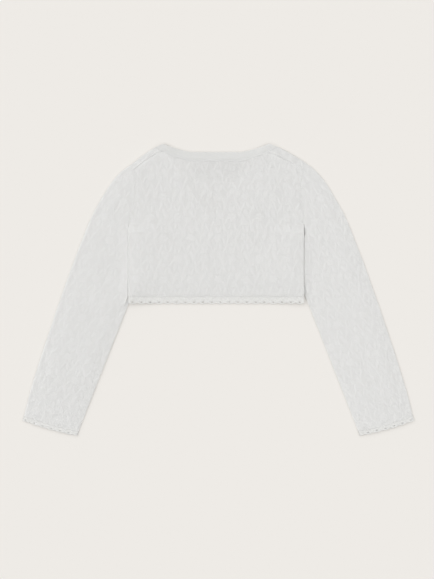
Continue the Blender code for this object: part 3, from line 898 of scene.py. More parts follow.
def makeBack():
    x, y = backPlan()
    figure = laceFigure(x, y)
    fade = gridFade(x.shape, rimWidth, backLook["stepSize"], backLook["stepSize"])
    pucker = backLook["pucker"] * softNoise(x, y * 0.0, backLook["puckerSize"], 3.0)
    seamRise, clear = shoulderSeam(sideOf(x), x, y)
    top = backHeight(x, y) + cut["wall"] + seamRise + slowWave(x, y) + foldHeight(x, y, creases)
    top = top + pucker * ease(1.0 - (y - cut["hemSeamY"]) / backLook["puckerReach"]) - hemDrop(x, y)
    above, fadeOver = backLook["sideRollTop"]
    top = top - sideDrop(x) * ease((cut["underarmY"] + above - y) / fadeOver)
    depth = lace["depth"] * (1.0 - figure * clear)
    outer = at(x, y, top - depth - rimDrop * (1.0 - fade))
    inner = at(x, y, top - lace["thickness"])[::coarse, ::coarse]
    piece = shell("laceBack", outer, inner, at(x, y), {"figure": figure, "shade": backShade(x, y)})
    dress(piece, "lace", "back")
    cutArea[piece.name] = flatArea(at(x, y))


# Front panels, outside down
frontLook = {
    "columns": 128,
    "rowsBelow": 128,
    "rowsAbove": 116,
    "stepSize": 0.9,
    "laceShift": (9.0, 20.0),
}


def frontPlan(side):
    share = np.linspace(0.0, 1.0, frontLook["columns"] + 1)
    cornerX, cornerY = bandCorner(side)
    low = np.linspace(cut["hemSeamY"] + cut["seamGap"] / 2.0, cut["underarmY"], frontLook["rowsBelow"] + 1)
    high = np.linspace(cut["underarmY"], cornerY - cut["seamGap"], frontLook["rowsAbove"] + 1)[1:]
    bandY = np.concatenate([low, high])[:, None]
    climb = np.clip((bandY - cut["underarmY"]) / (cornerY - cut["underarmY"]), 0.0, 1.0)
    tipY = tipYOf(side) - cut["foldIn"]
    edgeY = np.minimum(bandY, cut["underarmY"]) + (tipY - cut["underarmY"]) * climb
    start = bandSeamX(side, bandY) + side * cut["seamGap"]
    end = bodyEdgeX(side, edgeY)
    x = mix(start, end, share[None, :])
    straightX = mix(cornerX, bodyEdgeX(side, tipY), share)
    rise = shoulderY(side, straightX) - mix(cornerY, tipYOf(side), share)
    y = mix(bandY, edgeY, share[None, :]) + rise[None, :] * climb ** 2
    return x, y


def makeFront(side, hand):
    x, y = frontPlan(side)
    shiftX, shiftY = frontLook["laceShift"]
    figure = laceFigure(x + shiftX, y + shiftY)
    fade = gridFade(x.shape, rimWidth, frontLook["stepSize"], frontLook["stepSize"])
    under = frontHeight(x, y)
    outer = at(x, y, under + lace["depth"] * (1.0 - figure) + rimDrop * (1.0 - fade))
    inner = at(x, y, under + lace["thickness"])[::coarse, ::coarse]
    values = {"figure": figure, "shade": np.zeros_like(x)}
    piece = shell("laceFront" + hand.title(), outer, inner, at(x, y), values, turned=side > 0)
    dress(piece, "lace", "front_" + hand)
    cutArea[piece.name] = flatArea(at(x, y))


# Sleeves
sleeveLook = {
    "rings": 400,
    "stepsUnder": 64,
    "stepsFold": 12,
    "stepsTop": 132,
    "roll": 4.8,        # the folds round off over this width
    "tuckedRoll": 1.4,  # and over this one where the body hides them
    "edgeHeight": 0.60, # share of the full height along the folds
    "tuckedHeight": 0.95,
    "edgeLeast": 2.1,
    "swell": 18.0,
    "freeFrom": 5.0,    # the section from which the inner fold comes out from under the body
    "freeOver": 1.5,    # in sections, as the next one
    "armholeOver": 1.6,     # the outer fold is higher by the armhole, up to here
    "waveFade": 12.0,   # waves die out this near to a fold
    "lean": {-1: 2.2, 1: 1.5},      # rises by this much against the body's side
    "leanWidth": 16.0,
    "leanEnds": (24.0, 12.0, 20.0),     # fades in under the arm, and out past the hem
    "rise": {-1: (1.3, 2.0), 1: (0.8, 1.5)},    # from this far under the side, over this width
    "grain": 19.6,      # degrees that the sleeve leans out
    "foldRadius": 1.8,
    "laceShift": 14.0,
    "seamWidth": 1.5,   # the figures end this near to the sleeve's seam
    "rimWidth": 1.4,
    "allRound": 2.06,   # cloth all round, over what shows from above
    # Painted light: the right sleeve is painted a little paler than the left
    "shade": {-1: 0.0, 1: -0.3},
}


def readSections(place):
    # A smooth curve through the rows of the table
    row = np.minimum(place.astype(int), lastSection - 1)
    part = (place - row)[:, None]
    before, start, end, after = (sleeveTable[np.clip(row + step, 0, lastSection)] for step in (-1, 0, 1, 2))
    bend = 2.0 * before - 5.0 * start + 4.0 * end - after
    twist = 3.0 * (start - end) + after - before
    return start + 0.5 * part * (end - before + part * (bend + part * twist))


def sleeveLines(side, place):
    # Each section's line, from its inner fold to its outer fold
    outerX, outerY, innerY, height = readSections(place).T
    rows = sleeveCut["cuffRows"]
    height = height * (1.0 - sleeveCut["cuffFlat"] * ease((place - lastSection + rows) / rows))
    nearer = side * sleeveCut["startIn"] * (1.0 - ease(place / sleeveCut["startRows"]))
    innerX = innerFoldX(side, innerY) - nearer
    outerY = outerY + side * cut["tilt"] * ease(1.0 - place / sleeveCut["rowsToStraight"])
    start = at(innerX, innerY)
    return start, at(side * outerX, outerY) - start, height


def cuffDirection(side):
    start, run, _ = sleeveLines(side, np.array([lastSection - 1.0, float(lastSection)]))
    middle = start + run / 2.0
    down = middle[1] - middle[0]
    return down / np.linalg.norm(down)


def loopZones(under, fold, top):
    # Round the tube: 0 its underside, 1 the outer fold, 2 the top, 3 the inner fold
    zones = np.repeat([0, 1, 2, 3], [under, fold, top, fold])
    shares = np.concatenate([np.arange(count) / count for count in (under, fold, top, fold)])
    return np.append(zones, 3), np.append(shares, 1.0)


def loopPlaces(width, height, free, atTop, inset, zones, shares):
    # Distance from the inner fold and height, for each ring (rows) and place round it (columns).
    # The tube is lower along its folds, but its inner fold only where it is free of the body.
    wide, full = width[:, None], height[:, None]
    roll, tucked = sleeveLook["roll"], mix(sleeveLook["tuckedRoll"], sleeveLook["roll"], free)[:, None]
    flat, whole, least = sleeveLook["edgeHeight"], sleeveLook["tuckedHeight"], sleeveLook["edgeLeast"]
    outer = np.maximum(mix(flat, whole, atTop)[:, None] * full, least)
    inner = np.maximum(mix(whole, flat, free)[:, None] * full, least)
    run = wide - roll - tucked
    angle = math.pi * (shares - 0.5)[None, :]
    zone = [zones == 0, zones == 1, zones == 2, zones == 3]
    away = np.select(zone, [tucked + run * shares, wide - roll + (roll - inset) * np.cos(angle),
                            wide - roll - run * shares, tucked - (tucked - inset) * np.cos(angle)])
    top = full - (full - outer) * (1.0 - ease((wide - away - roll) / sleeveLook["swell"]))
    top = top - (full - inner) * (1.0 - ease((away - tucked) / sleeveLook["swell"]))
    z = np.select(zone, [inset + 0.0 * away, outer / 2.0 + (outer / 2.0 - inset) * np.sin(angle),
                         top - inset, inner / 2.0 - (inner / 2.0 - inset) * np.sin(angle)])
    return away, z


def leanRise(side, x, y):
    # The sleeve rises against the body's side, from just under its rounded edge
    fromBody = side * (x - sideX(side))
    tuck, width = sleeveLook["rise"][side]
    raised = ease(1.0 - fromBody / sleeveLook["leanWidth"]) * ease((fromBody + tuck) / width)
    underArm, past, byHem = sleeveLook["leanEnds"]
    beside = ease((cut["underarmY"] - y) / underArm) * ease((y - cut["hemY"] + past) / byHem)
    return sleeveLook["lean"][side] * raised * beside


def sleeveSurface(side, place, inset, zones, shares):
    start, run, height = sleeveLines(side, place)
    width = np.linalg.norm(run, axis=1)
    free = ease((place - sleeveLook["freeFrom"]) / sleeveLook["freeOver"])
    atTop = ease(1.0 - place / sleeveLook["armholeOver"])
    away, z = loopPlaces(width, height, free, atTop, inset, zones, shares)
    share = away / width[:, None]
    bow = (cut["armholeBow"] * ease(1.0 - place / sleeveCut["rowsToStraight"]))[:, None]
    drop = (sleeveCut["cuffBow"] * ease(place - lastSection + 1.0))[:, None] * 4.0 * share * (1.0 - share)
    down = cuffDirection(side)
    x = start[:, :1] + run[:, :1] * share + drop * down[0] - side * bow * bulge(np.clip(share, 0.0, 1.0))
    y = start[:, 1:] + run[:, 1:] * share + drop * down[1]
    waves = foldHeight(x, y, clothFolds) + foldHeight(x, y, creases) + slowWave(x, y)
    toFold = ease(np.minimum(away, width[:, None] - away) / sleeveLook["waveFade"])
    return at(x, y, z + np.where(zones == 2, waves * toFold + leanRise(side, x, y), 0.0))


def evenPlaces(side, count):
    # Places in the table at even steps along the sleeve's middle line
    fine = np.linspace(0.0, lastSection, 600)
    start, run, _ = sleeveLines(side, fine)
    length = runAlong(start + run / 2.0)
    return np.interp(np.linspace(0.0, length[-1], count + 1), length, fine), length[-1]


def sleeveCloth(side, surface, zones, shares):
    # Cloth places in mm: p round the sleeve and q along it. The grain follows the sleeve's lower half.
    lean = math.radians(sleeveLook["grain"])
    p = side * surface[..., 0] * math.cos(lean) + surface[..., 1] * math.sin(lean)
    q = surface[..., 1] * math.cos(lean) - side * surface[..., 0] * math.sin(lean)
    outerFold = int(np.argmax(zones == 1)) + sleeveLook["stepsFold"] // 2
    atFold = p[:, outerFold:outerFold + 1]
    aroundOuter = atFold + sleeveLook["foldRadius"] * (1.0 - 2.0 * shares)[None, :]
    p = np.select([zones == 0, zones == 1], [2.0 * atFold - p, aroundOuter], p)
    return side * p, q


def makeSleeve(side, hand):
    zones, shares = loopZones(sleeveLook["stepsUnder"], sleeveLook["stepsFold"], sleeveLook["stepsTop"])
    place, length = evenPlaces(side, sleeveLook["rings"])
    plain = sleeveSurface(side, place, 0.0, zones, shares)
    p, q = sleeveCloth(side, plain, zones, shares)
    steps = np.linalg.norm(np.diff(plain, axis=1), axis=2)
    around = np.concatenate([np.zeros((len(place), 1)), np.cumsum(steps, axis=1)], axis=1)
    toSeam = np.minimum(around, around[:, -1:] - around)
    figure = laceFigure(p + sleeveLook["laceShift"], q) * ease(toSeam / sleeveLook["seamWidth"])
    ends = np.minimum(np.arange(len(place)), np.arange(len(place))[::-1]) * length / sleeveLook["rings"]
    rim = rimDrop * (1.0 - ease(ends / sleeveLook["rimWidth"]))[:, None]
    outer = sleeveSurface(side, place, lace["depth"] * (1.0 - figure) + rim, zones, shares)
    inner = sleeveSurface(side, place[::coarse], lace["thickness"], zones[::coarse], shares[::coarse])
    for surface in (outer, inner):
        surface[:, -1] = surface[:, 0]
    values = {"figure": figure, "shade": np.full_like(figure, sleeveLook["shade"][side])}
    piece = shell("laceSleeve" + hand.title(), outer, inner, at(p, q), values, turned=side < 0, wraps=True)
    dress(piece, "lace", "sleeve_" + hand)
    cutArea[piece.name] = flatArea(plain[:, zones == 2][..., :2]) * sleeveLook["allRound"]


makeBack()
print("back done")
for side, hand in ((-1, "left"), (1, "right")):
    makeFront(side, hand)
    makeSleeve(side, hand)
print("fronts and sleeves done")


# Folded bands: the neck binding and the front bands
bandLook = {
    "top": 22,
    "edge": 8,
    "under": 6,
    "roll": 2.0,
    "neckWall": 1.3,
    "thinner": 0.22,        # towards its seam
    "thinWidth": 6.0,
    "droop": 0.9,           # the back neck hangs towards the surface
    "droopWidth": 14.0,
    "overlap": 0.5,
    "chamfer": 0.25,        # of the edge along its seam
    "cornerSunk": 0.04,
    "groove": 0.05,
    "grooveWidth": 0.7,
    "stitchFromSeam": 2.6,
    "stitchSink": 0.13,
    "paintedLight": 1.0,            # painted light: the band is painted paler towards its seam, against the shade there
    "ridge": 0.12,
}


def bandWall(wall, fromSeam):
    return wall * (1.0 - bandLook["thinner"] * ease(1.0 - fromSeam / bandLook["thinWidth"]))


def foldedBand(name, free, seam, under, wall, node):
    # A strip folded over the raw edge, thinner at its seam, with a groove along its stitching.
    # free and seam are paths in plan.
    across = seam - free
    across = across * (1.0 + bandLook["overlap"] / np.linalg.norm(across, axis=1)[:, None])
    width = np.linalg.norm(across, axis=1)[:, None]
    roll, chamfer, stitchAt = bandLook["roll"], bandLook["chamfer"], bandLook["stitchFromSeam"]
    angle = math.pi * (np.linspace(0.0, 1.0, bandLook["edge"] + 1) - 0.5)[None, :]
    top = np.linspace(0.0, 1.0, bandLook["top"] + 1)[None, 1:]
    low = np.linspace(1.0, 0.0, bandLook["under"] + 1)[None, :-1]
    shareTop = (roll + (width - roll - chamfer) * top) / width
    shareLow = (roll + (width - roll - chamfer) * low) / width
    fromSeam = (1.0 - shareTop) * width
    thick = bandWall(wall, fromSeam)
    groove = bandLook["groove"] * np.exp(-(((fromSeam - stitchAt) / bandLook["grooveWidth"]) ** 2))
    crown = bandLook["ridge"] * np.sin(math.pi * top)
    fold = (roll - roll * np.cos(angle)) / width
    foldZ = wall / 2.0 + wall / 2.0 * np.sin(angle) + 0.0 * width
    corner = thick[:, -1:] - bandLook["cornerSunk"]
    cornerZ = np.concatenate([corner, np.full_like(width, chamfer)], axis=1)
    share = np.concatenate([fold, shareTop, np.ones((len(free), 2)), shareLow], axis=1)
    z = np.concatenate([foldZ, thick + crown - groove, cornerZ, 0.0 * shareLow], axis=1)
    plan = free[:, None, :] + across[:, None, :] * share[..., None]
    x, y = plan[..., 0], plan[..., 1]
    uv = at(np.repeat(runAlong(free)[:, None], share.shape[1], axis=1), share * width)
    # Painted light: the band's colour is made paler towards its seam
    seamLightMask = ease(1.0 - (1.0 - share) * width / bandLook["thinWidth"])
    piece = loft(name, at(x, y, under(x, y) + z), uv, shade=-bandLook["paintedLight"] * seamLightMask)
    inEditMode(piece, turnOut)
    dress(piece, "binding", node)
    x, y = (free + across * (1.0 - stitchAt / width)).T
    lift = under(x, y) + bandWall(wall, stitchAt) - bandLook["stitchSink"]
    dress(stitches(name + "Stitches", at(x, y, lift)), "binding")


def neckUnder(x, y):
    toSeam = y - neckSeamY(sideOf(x), x)
    hangs = ease(toSeam / cut["band"]) * ease(insideV(x, y) / bandLook["droopWidth"])
    return backHeight(x, y) - bandLook["droop"] * hangs


def makeNeckBinding():
    share = np.linspace(-1.0, 1.0, 260)
    side = np.where(share < 0.0, -1.0, 1.0)
    free = at(cut["middleX"] + share * cut["halfNeck"], neckEdgeY(share))
    seamX = cut["middleX"] + share * (cut["halfNeck"] + cut["band"])
    seam = at(seamX, neckSeamY(side, seamX))
    foldedBand("neckBinding", free, seam, neckUnder, bandLook["neckWall"], "neck_binding")


def makeFrontBand(side, hand):
    bottom = cut["hemSeamY"] + cut["seamGap"] / 2.0
    low = np.linspace(0.0, 1.0, 90)
    high = np.linspace(0.0, 1.0, 130)[1:]
    freeY = np.concatenate([mix(bottom, cut["vPointY"], low), mix(cut["vPointY"], cut["neckPointY"], high)])
    seamY = np.concatenate([mix(bottom, cut["vSeamY"], low), mix(cut["vSeamY"], bandCorner(side)[1], high)])
    free, seam = at(frontEdgeX(side, freeY), freeY), at(bandSeamX(side, seamY), seamY)
    foldedBand("frontBand" + hand.title(), free, seam, frontHeight, cut["wall"], "front_band_" + hand)


makeNeckBinding()
for side, hand in ((-1, "left"), (1, "right")):
    makeFrontBand(side, hand)
print("bands done")


# Scalloped edgings, with an eyelet in each scallop and a corded rim
edgeLook = {
    "columns": 24,          # in each scallop
    "rows": 22,
    "round": 0.45,
    "wall": 0.5,
    "relief": 0.16,
    "ribs": 6,              # fanning out from the top of each scallop
    "ribsFrom": 0.2,        # the fan's middle lies this share of the depth above the edging
    "ribsFade": (0.8, 1.2),     # beside an eyelet in shares of its size, and under the seam
    "shellDown": 0.32,      # middle of the scallop's soft swelling, as a share down the edging
    "shellWide": 4.2,
    "shellTall": 0.3,
    "dimple": 0.18,         # the cloth sinks round each eyelet
    "dimpleWidth": 1.6,     # widths round an eyelet are in shares of its size
    "eyeletCord": (1.35, 0.3),
    "eyeletCut": 1.1,
    "cord": 0.24,
    "cordSunk": 0.08,
    "cordInset": 0.1,
    # The rim's painted light starts this share down the edging and grows over the next share
    "paintedLightFrom": 0.72,
    "paintedLightWidth": 0.25,
}
# eyelet is half its width, half its height and the share down the edging. shell is the swelling's height.
# The rim's painted light: how much paler the edging's rim and its cord are painted, against the shade along
# the rim.
hemLook = {"scallops": 20, "notch": 2.2, "eyelet": (1.5, 0.85, 0.80), "shell": 0.35, "paintedLight": 1.4,
           "short": 0.2}    # the back's edging ends this much above the front's
hemFrontLook = {**hemLook, "shell": 0.1}
cuffLook = {"scallops": 13, "notch": 1.8, "eyelet": (1.15, 0.7, 0.69), "shell": 0.15, "paintedLight": 0.6,
            "seam": 0.45, "seamSunk": 0.5, "seamSteps": 200}


def notch(turns, depth):
    return depth * (1.0 - np.abs(np.sin(math.pi * turns)) ** edgeLook["round"])


def edgingRelief(local, drop, away, depth, swell):
    # Ribs fan out over each scallop, and a cord runs round its eyelet
    angle = np.arctan2(drop + edgeLook["ribsFrom"] * depth, local)
    ribs = 0.5 + 0.5 * np.cos(angle * 2.0 * edgeLook["ribs"])
    cordAt, cordWidth = edgeLook["eyeletCord"]
    cord = np.exp(-(((away - cordAt) / cordWidth) ** 2))
    byEyelet, underSeam = edgeLook["ribsFade"]
    pattern = np.maximum(ribs * ease((away - 1.0) / byEyelet), cord)
    relief = edgeLook["relief"] * pattern * ease(drop / underSeam)
    fromShell = np.hypot(local / edgeLook["shellWide"],
                         (drop - depth * edgeLook["shellDown"]) / (edgeLook["shellTall"] * depth))
    dimple = edgeLook["dimple"] * ease(1.0 - (away - 1.0) / edgeLook["dimpleWidth"])
    return relief + swell * ease(1.0 - fromShell) - dimple


def eyeletFaces(away):
    # Which faces an eyelet takes away, and which points lie on its rim
    inHole = away < edgeLook["eyeletCut"]
    removed = inHole[:-1, :-1] & inHole[:-1, 1:] & inHole[1:, 1:] & inHole[1:, :-1]
    touched, kept = np.zeros_like(inHole), np.zeros_like(inHole)
    rows, columns = removed.shape
    for down in (0, 1):
        for along in (0, 1):
            corner = (slice(down, rows + down), slice(along, columns + along))
            touched[corner] |= removed
            kept[corner] |= ~removed
    return removed, touched & kept


def edgingPiece(name, place, look, scallops, pitch, depth, node, closed=False):
    # place(turns, drop) gives a point of the edging's top and the direction out of the cloth
    across = np.linspace(0.0, scallops, round(scallops * edgeLook["columns"]) + 1)[None, :]
    rows = np.linspace(0.0, 1.0, edgeLook["rows"] + 1)[:, None]
    turns, drop = across + 0.0 * rows, (depth - notch(across, look["notch"])) * rows
    local = (turns % 1.0 - 0.5) * pitch
    eyeletWide, eyeletTall, eyeletDown = look["eyelet"]
    centre = depth * eyeletDown
    away = np.hypot(local / eyeletWide, (drop - centre) / eyeletTall)
    swell, sunk = look["shell"], edgeLook["relief"] + look["shell"]
    relief = edgingRelief(local, drop, away, depth, swell)
    removed, onRim = eyeletFaces(away)
    scale = np.where(onRim, 1.0 / np.maximum(away, 0.01), 1.0)
    dropped = np.where(onRim, centre + (drop - centre) * scale, drop)
    turned = np.where(onRim, turns + local * (scale - 1.0) / pitch, turns)
    points, out = place(turned, dropped)
    points = points + out * (relief - sunk)[..., None]
    faces = gridFaces(np.arange(turns.size).reshape(turns.shape))[~removed].tolist()
    # Painted light: the edging is painted paler along its rim, where it lies in shade
    rimPaintedLight = ease((drop / depth - edgeLook["paintedLightFrom"]) / edgeLook["paintedLightWidth"])
    values = {"figure": np.clip(relief / edgeLook["relief"], 0.0, 1.0), "shade": -look["paintedLight"] * rimPaintedLight}
    piece = makeObject(name, points.reshape(-1, 3), faces, at(turned * pitch, dropped).reshape(-1, 2), values)
    if closed:
        inEditMode(piece, mergeSeam)
    inEditMode(piece, dropLoose)
    faceAlong(piece, out[0, turns.shape[1] // 2])
    thick = piece.modifiers.new("cloth", "SOLIDIFY")
    thick.thickness = edgeLook["wall"] * mm
    thick.offset = -1.0
    thick.use_even_offset = False
    bpy.ops.object.modifier_apply(modifier=thick.name)
    dress(piece, "edging", node)
    edgeDrop = depth - notch(across, look["notch"]) - edgeLook["cordInset"]
    rimPoints, rimOut = place(across, edgeDrop)
    cordPath = (rimPoints - rimOut * (sunk + edgeLook["cordSunk"]))[0]
    cordPath = cordPath[:-1] if closed else cordPath
    # The cord is painted paler too, as painted light
    dress(tube(name + "Cord", cordPath, edgeLook["cord"], closed, -look["paintedLight"]), "edging")


def faceAlong(piece, out):
    # Turns the faces so that the middle of the strip faces out
    mesh = piece.data
    mesh.update()
    normals = np.zeros(len(mesh.polygons) * 3)
    mesh.polygons.foreach_get("normal", normals)
    middle = normals.reshape(-1, 3)[len(mesh.polygons) // 2]
    if float(middle @ out) < 0.0:
        mesh.flip_normals()


def hemPlace(start, end, scallops, height, way):
    # way is 1 for an edging that faces up, -1 for one that faces down
    def place(turns, drop):
        x = mix(start, end, turns / scallops)
        y = cut["hemSeamY"] - cut["seamGap"] / 2.0 - drop
        return at(x, y, height(x, y)), at(0.0 * x, 0.0 * x, way + 0.0 * x)
    return place


def hemTop(x, y):
    return backHeight(x, y) + cut["wall"] - hemDrop(x, y) - sideDrop(x)


def makeHem():
    depth = cut["hemSeamY"] - cut["hemY"] - cut["seamGap"] / 2.0
    scallops = hemLook["scallops"]
    pitch = 2.0 * cut["halfChest"] / scallops
    backTop = hemPlace(sideX(-1), sideX(1), scallops, hemTop, 1.0)
    edgingPiece("hemEdgingBack", backTop, hemLook, scallops, pitch, depth - hemLook["short"],
                "hem_edging_back")
    for side, hand in ((-1, "left"), (1, "right")):
        # The front's scallops lie under the back's, counted from the side
        start, end = sideX(side), frontEdgeX(side, cut["hemY"])
        scallops = float(abs(end - start)) / pitch
        frontFace = hemPlace(start, end, scallops, frontHeight, -1.0)
        edgingPiece("hemEdging" + hand.title(), frontFace, hemFrontLook, scallops, pitch, depth,
                    "hem_edging_" + hand)


def cuffPlace(side):
    start, run, height = (value[0] for value in sleeveLines(side, np.array([float(lastSection)])))
    width = float(np.linalg.norm(run))
    down = cuffDirection(side)
    roll, low = sleeveLook["roll"], max(sleeveLook["edgeHeight"] * height, sleeveLook["edgeLeast"]) / 2.0
    flat = width - 2.0 * roll
    half = math.pi * math.sqrt((roll * roll + low * low) / 2.0)
    girth = 2.0 * (flat + half)

    def place(turns, drop):
        # Round the cuff: its underside, the outer fold, its top, and the inner fold
        around = (turns / cuffLook["scallops"] * girth) % girth
        zone = [around < flat, around < flat + half, around < 2.0 * flat + half]
        outer = math.pi * ((around - flat) / half - 0.5)
        inner = math.pi * ((around - 2.0 * flat - half) / half + 0.5)
        level = 0.0 * around
        away = np.select(zone, [roll + around, width - roll + roll * np.cos(outer),
                                width - roll - (around - flat - half)], roll + roll * np.cos(inner))
        swell = ease((np.minimum(away, width - away) - roll) / sleeveLook["swell"])
        z = np.select(zone, [level, low + low * np.sin(outer), mix(2.0 * low, height, swell)],
                      low + low * np.sin(inner))
        outAway = np.select(zone, [level, np.cos(outer) * low, level], np.cos(inner) * low)
        outZ = np.select(zone, [level - 1.0, np.sin(outer) * roll, level + 1.0], np.sin(inner) * roll)
        size = np.hypot(outAway, outZ)
        outAway, outZ = outAway / size, outZ / size
        share = away / width
        bowed = drop + cut["seamGap"] + sleeveCut["cuffBow"] * 4.0 * share * (1.0 - share)
        x = start[0] + run[0] * share + bowed * down[0]
        y = start[1] + run[1] * share + bowed * down[1]
        return at(x, y, z), at(outAway * run[0] / width, outAway * run[1] / width, outZ)
    return place, girth


def makeCuffEdging(side, hand):
    place, girth = cuffPlace(side)
    scallops, steps = cuffLook["scallops"], cuffLook["seamSteps"]
    depth = sleeveCut["cuffEdging"] - cut["seamGap"]
    edgingPiece("cuffEdging" + hand.title(), place, cuffLook, scallops, girth / scallops, depth,
                "cuff_edging_" + hand, closed=True)
    # The seam between sleeve and edging
    turns = np.linspace(0.0, scallops, steps + 1)[None, :-1]
    points, out = place(turns, np.full((1, steps), -sleeveCut["cuffSeam"]))
    path = (points - out * cuffLook["seamSunk"])[0]
    dress(tube("cuffSeam" + hand.title(), path, cuffLook["seam"], closed=True), "edging")


makeHem()
for side, hand in ((-1, "left"), (1, "right")):
    makeCuffEdging(side, hand)
print("edgings done")


# Seams and folds that close the pieces
seamLook = {
    "cord": 0.5,
    "middle": 0.5,          # height of a seam cord's middle in a wall
    "neck": 0.64,
    "neckUp": 0.36,
    "neckBack": 0.6,        # the neck's cord lies this far under the back's edge
    "stitchUp": 2.2,        # hem stitches above the seam
    "stitchSink": 0.1,
    "armhole": 1.1,
    "armholeFront": 0.7,
    "armholeDown": 1.05,    # under the back's top
    "armholeLow": 3.1,      # height of its end under the arm
    "armholeOut": 0.9,
    "armholeFade": 7.0,     # length over which it comes down under the arm
    "armholeIn": 0.6,       # its height is taken this far inside the body
    "armholeFrontUp": 0.8,
    "armholeEnd": {-1: 76.0, 1: 98.0},
    "underarm": 0.9,
    "underarmY": (99.0, 66.0),
    "underarmOut": 0.8,
    "foldSteps": 9,
    "foldWall": 0.6,
    "foldIn": (0.35, 0.45), # above the front's underside, under the back's top
    "foldOver": 0.1,
    "sideEnds": (0.4, 1.0),         # a side's fold ends this far from the hem seam and the underarm
    "shoulderEnds": (0.5, 0.8),     # a shoulder's fold: from the band's corner and the tip
    "sidePaintedLight": {-1: 1.6, 1: 0.0},      # painted light on the side seam's fold, here only on the left, against the shade in its groove
}


def seamCord(name, x, y, height, slot, radius=seamLook["cord"]):
    dress(tube(name, at(x, y, height), radius), slot)


def makeSeams():
    x = np.linspace(sideX(-1) + 1.0, sideX(1) - 1.0, 240)
    y = np.full_like(x, cut["hemSeamY"])
    seamCord("hemSeamBack", x, y, backHeight(x, y), "lace")
    y = y + seamLook["stitchUp"]
    stitchZ = backHeight(x, y) + cut["wall"] - hemDrop(x, y) - seamLook["stitchSink"]
    dress(stitches("hemStitches", at(x, y, stitchZ)), "edging")
    share = np.linspace(-1.0, 1.0, 220)
    x = cut["middleX"] + share * (cut["halfNeck"] + cut["band"])
    y = neckSeamY(np.where(share < 0.0, -1.0, 1.0), x) - cut["seamGap"] / 2.0
    neckZ = backHeight(x, y) + seamLook["neckUp"]
    seamCord("neckSeam", x, y - seamLook["neckBack"], neckZ, "binding", seamLook["neck"])
    for side, hand in ((-1, "Left"), (1, "Right")):
        x = np.linspace(frontEdgeX(side, 0.0) + side, sideX(side) - side, 120)
        y = np.full_like(x, cut["hemSeamY"])
        seamCord("hemSeam" + hand, x, y, frontHeight(x, y) + seamLook["middle"], "edging")
        y = np.linspace(cut["hemSeamY"] + 1.0, bandCorner(side)[1] - 1.0, 200)
        x = bandSeamX(side, y) + side * cut["seamGap"] / 2.0
        seamCord("bandSeam" + hand, x, y, frontHeight(x, y) + seamLook["middle"], "binding")
        makeArmholeSeams(side, hand)
    y = np.linspace(*seamLook["underarmY"], 40)
    x = np.full_like(y, sideX(1) + seamLook["underarmOut"])
    seamCord("underarmSeamRight", x, y, np.ones_like(y), "lace", seamLook["underarm"])


def makeArmholeSeams(side, hand):
    y = np.linspace(seamLook["armholeEnd"][side], tipYOf(side) + 0.2, 120)
    x = armholeX(side, y) - side * cut["armholeGap"] / 2.0
    below = ease((cut["underarmY"] - y) / seamLook["armholeFade"])
    level = backHeight(x - side * seamLook["armholeIn"], y) + cut["wall"] - seamLook["armholeDown"]
    level = mix(level, seamLook["armholeLow"], below)
    x = x + side * seamLook["armholeOut"] * below
    seamCord("armholeSeamBack" + hand, x, y, level, "lace", seamLook["armhole"])
    frontLevel = np.full_like(y, seamLook["armholeFrontUp"])
    seamCord("armholeSeamFront" + hand, x, y, frontLevel, "lace", seamLook["armholeFront"])


def foldWall(name, x, y, outward, paintedLight=0.0):
    # A rounded wall of cloth that joins the back's edge to the front's edge below it
    reach, wall = cut["foldIn"] + seamLook["foldOver"], seamLook["foldWall"]
    low = frontHeight(x, y) + seamLook["foldIn"][0]
    high = backHeight(x, y) + cut["wall"] - seamLook["foldIn"][1]
    middle, half = ((low + high) / 2.0)[:, None], ((high - low) / 2.0)[:, None]
    angle = np.linspace(-math.pi / 2.0, math.pi / 2.0, seamLook["foldSteps"])[None, :]
    loops = []
    for inset in (0.0, wall):
        out = (reach - inset) * np.cos(angle)
        z = middle + (half - inset) * np.sin(angle)
        loops.append(at(x[:, None] + outward[:, :1] * out, y[:, None] + outward[:, 1:] * out, z))
    rings = np.concatenate([loops[0], loops[1][:, ::-1]], axis=1)
    uv = at(np.repeat(runAlong(at(x, y))[:, None], rings.shape[1], axis=1), rings[..., 2])
    # Painted light: a fold can be painted paler against the shade beside it
    piece = loft(name, rings, uv, 0.5, -paintedLight)
    inEditMode(piece, turnOut)
    dress(piece, "lace")


def makeFolds():
    for side, hand in ((-1, "Left"), (1, "Right")):
        fromHem, fromArm = seamLook["sideEnds"]
        y = np.linspace(cut["hemSeamY"] + fromHem, cut["underarmY"] - fromArm, 120)
        x = bodyEdgeX(side, y) - side * seamLook["foldOver"]
        outward = at(np.full_like(y, float(side)), 0.0 * y)
        foldWall("sideSeam" + hand, x, y, outward, seamLook["sidePaintedLight"][side])
        fromBand, fromTip = seamLook["shoulderEnds"]
        x = np.linspace(bandCorner(side)[0] - side * fromBand, side * cut["tipX"] - side * fromTip, 60)
        y = shoulderY(side, x) - cut["foldIn"] - seamLook["foldOver"]
        slope = np.gradient(y, x)
        outward = at(-slope, np.ones_like(slope)) / np.hypot(slope, 1.0)[:, None]
        foldWall("shoulderFold" + hand, x, y, outward)


makeSeams()
makeFolds()
print("seams and folds done")


# Blank woven label inside the back neck
labelLook = {
    "width": 66.0,
    "height": 22.0,
    "topY": 192.0,
    "middleX": -3.3,
    "wall": 0.9,
    "columns": 48,
    "rows": 16,
    "rim": (0.3, 2.0),          # its edge rounds down by this much, over this width
    "hem": (0.25, 6.0, 0.8),    # its ends are doubled: the step's height, place from the end and width
}


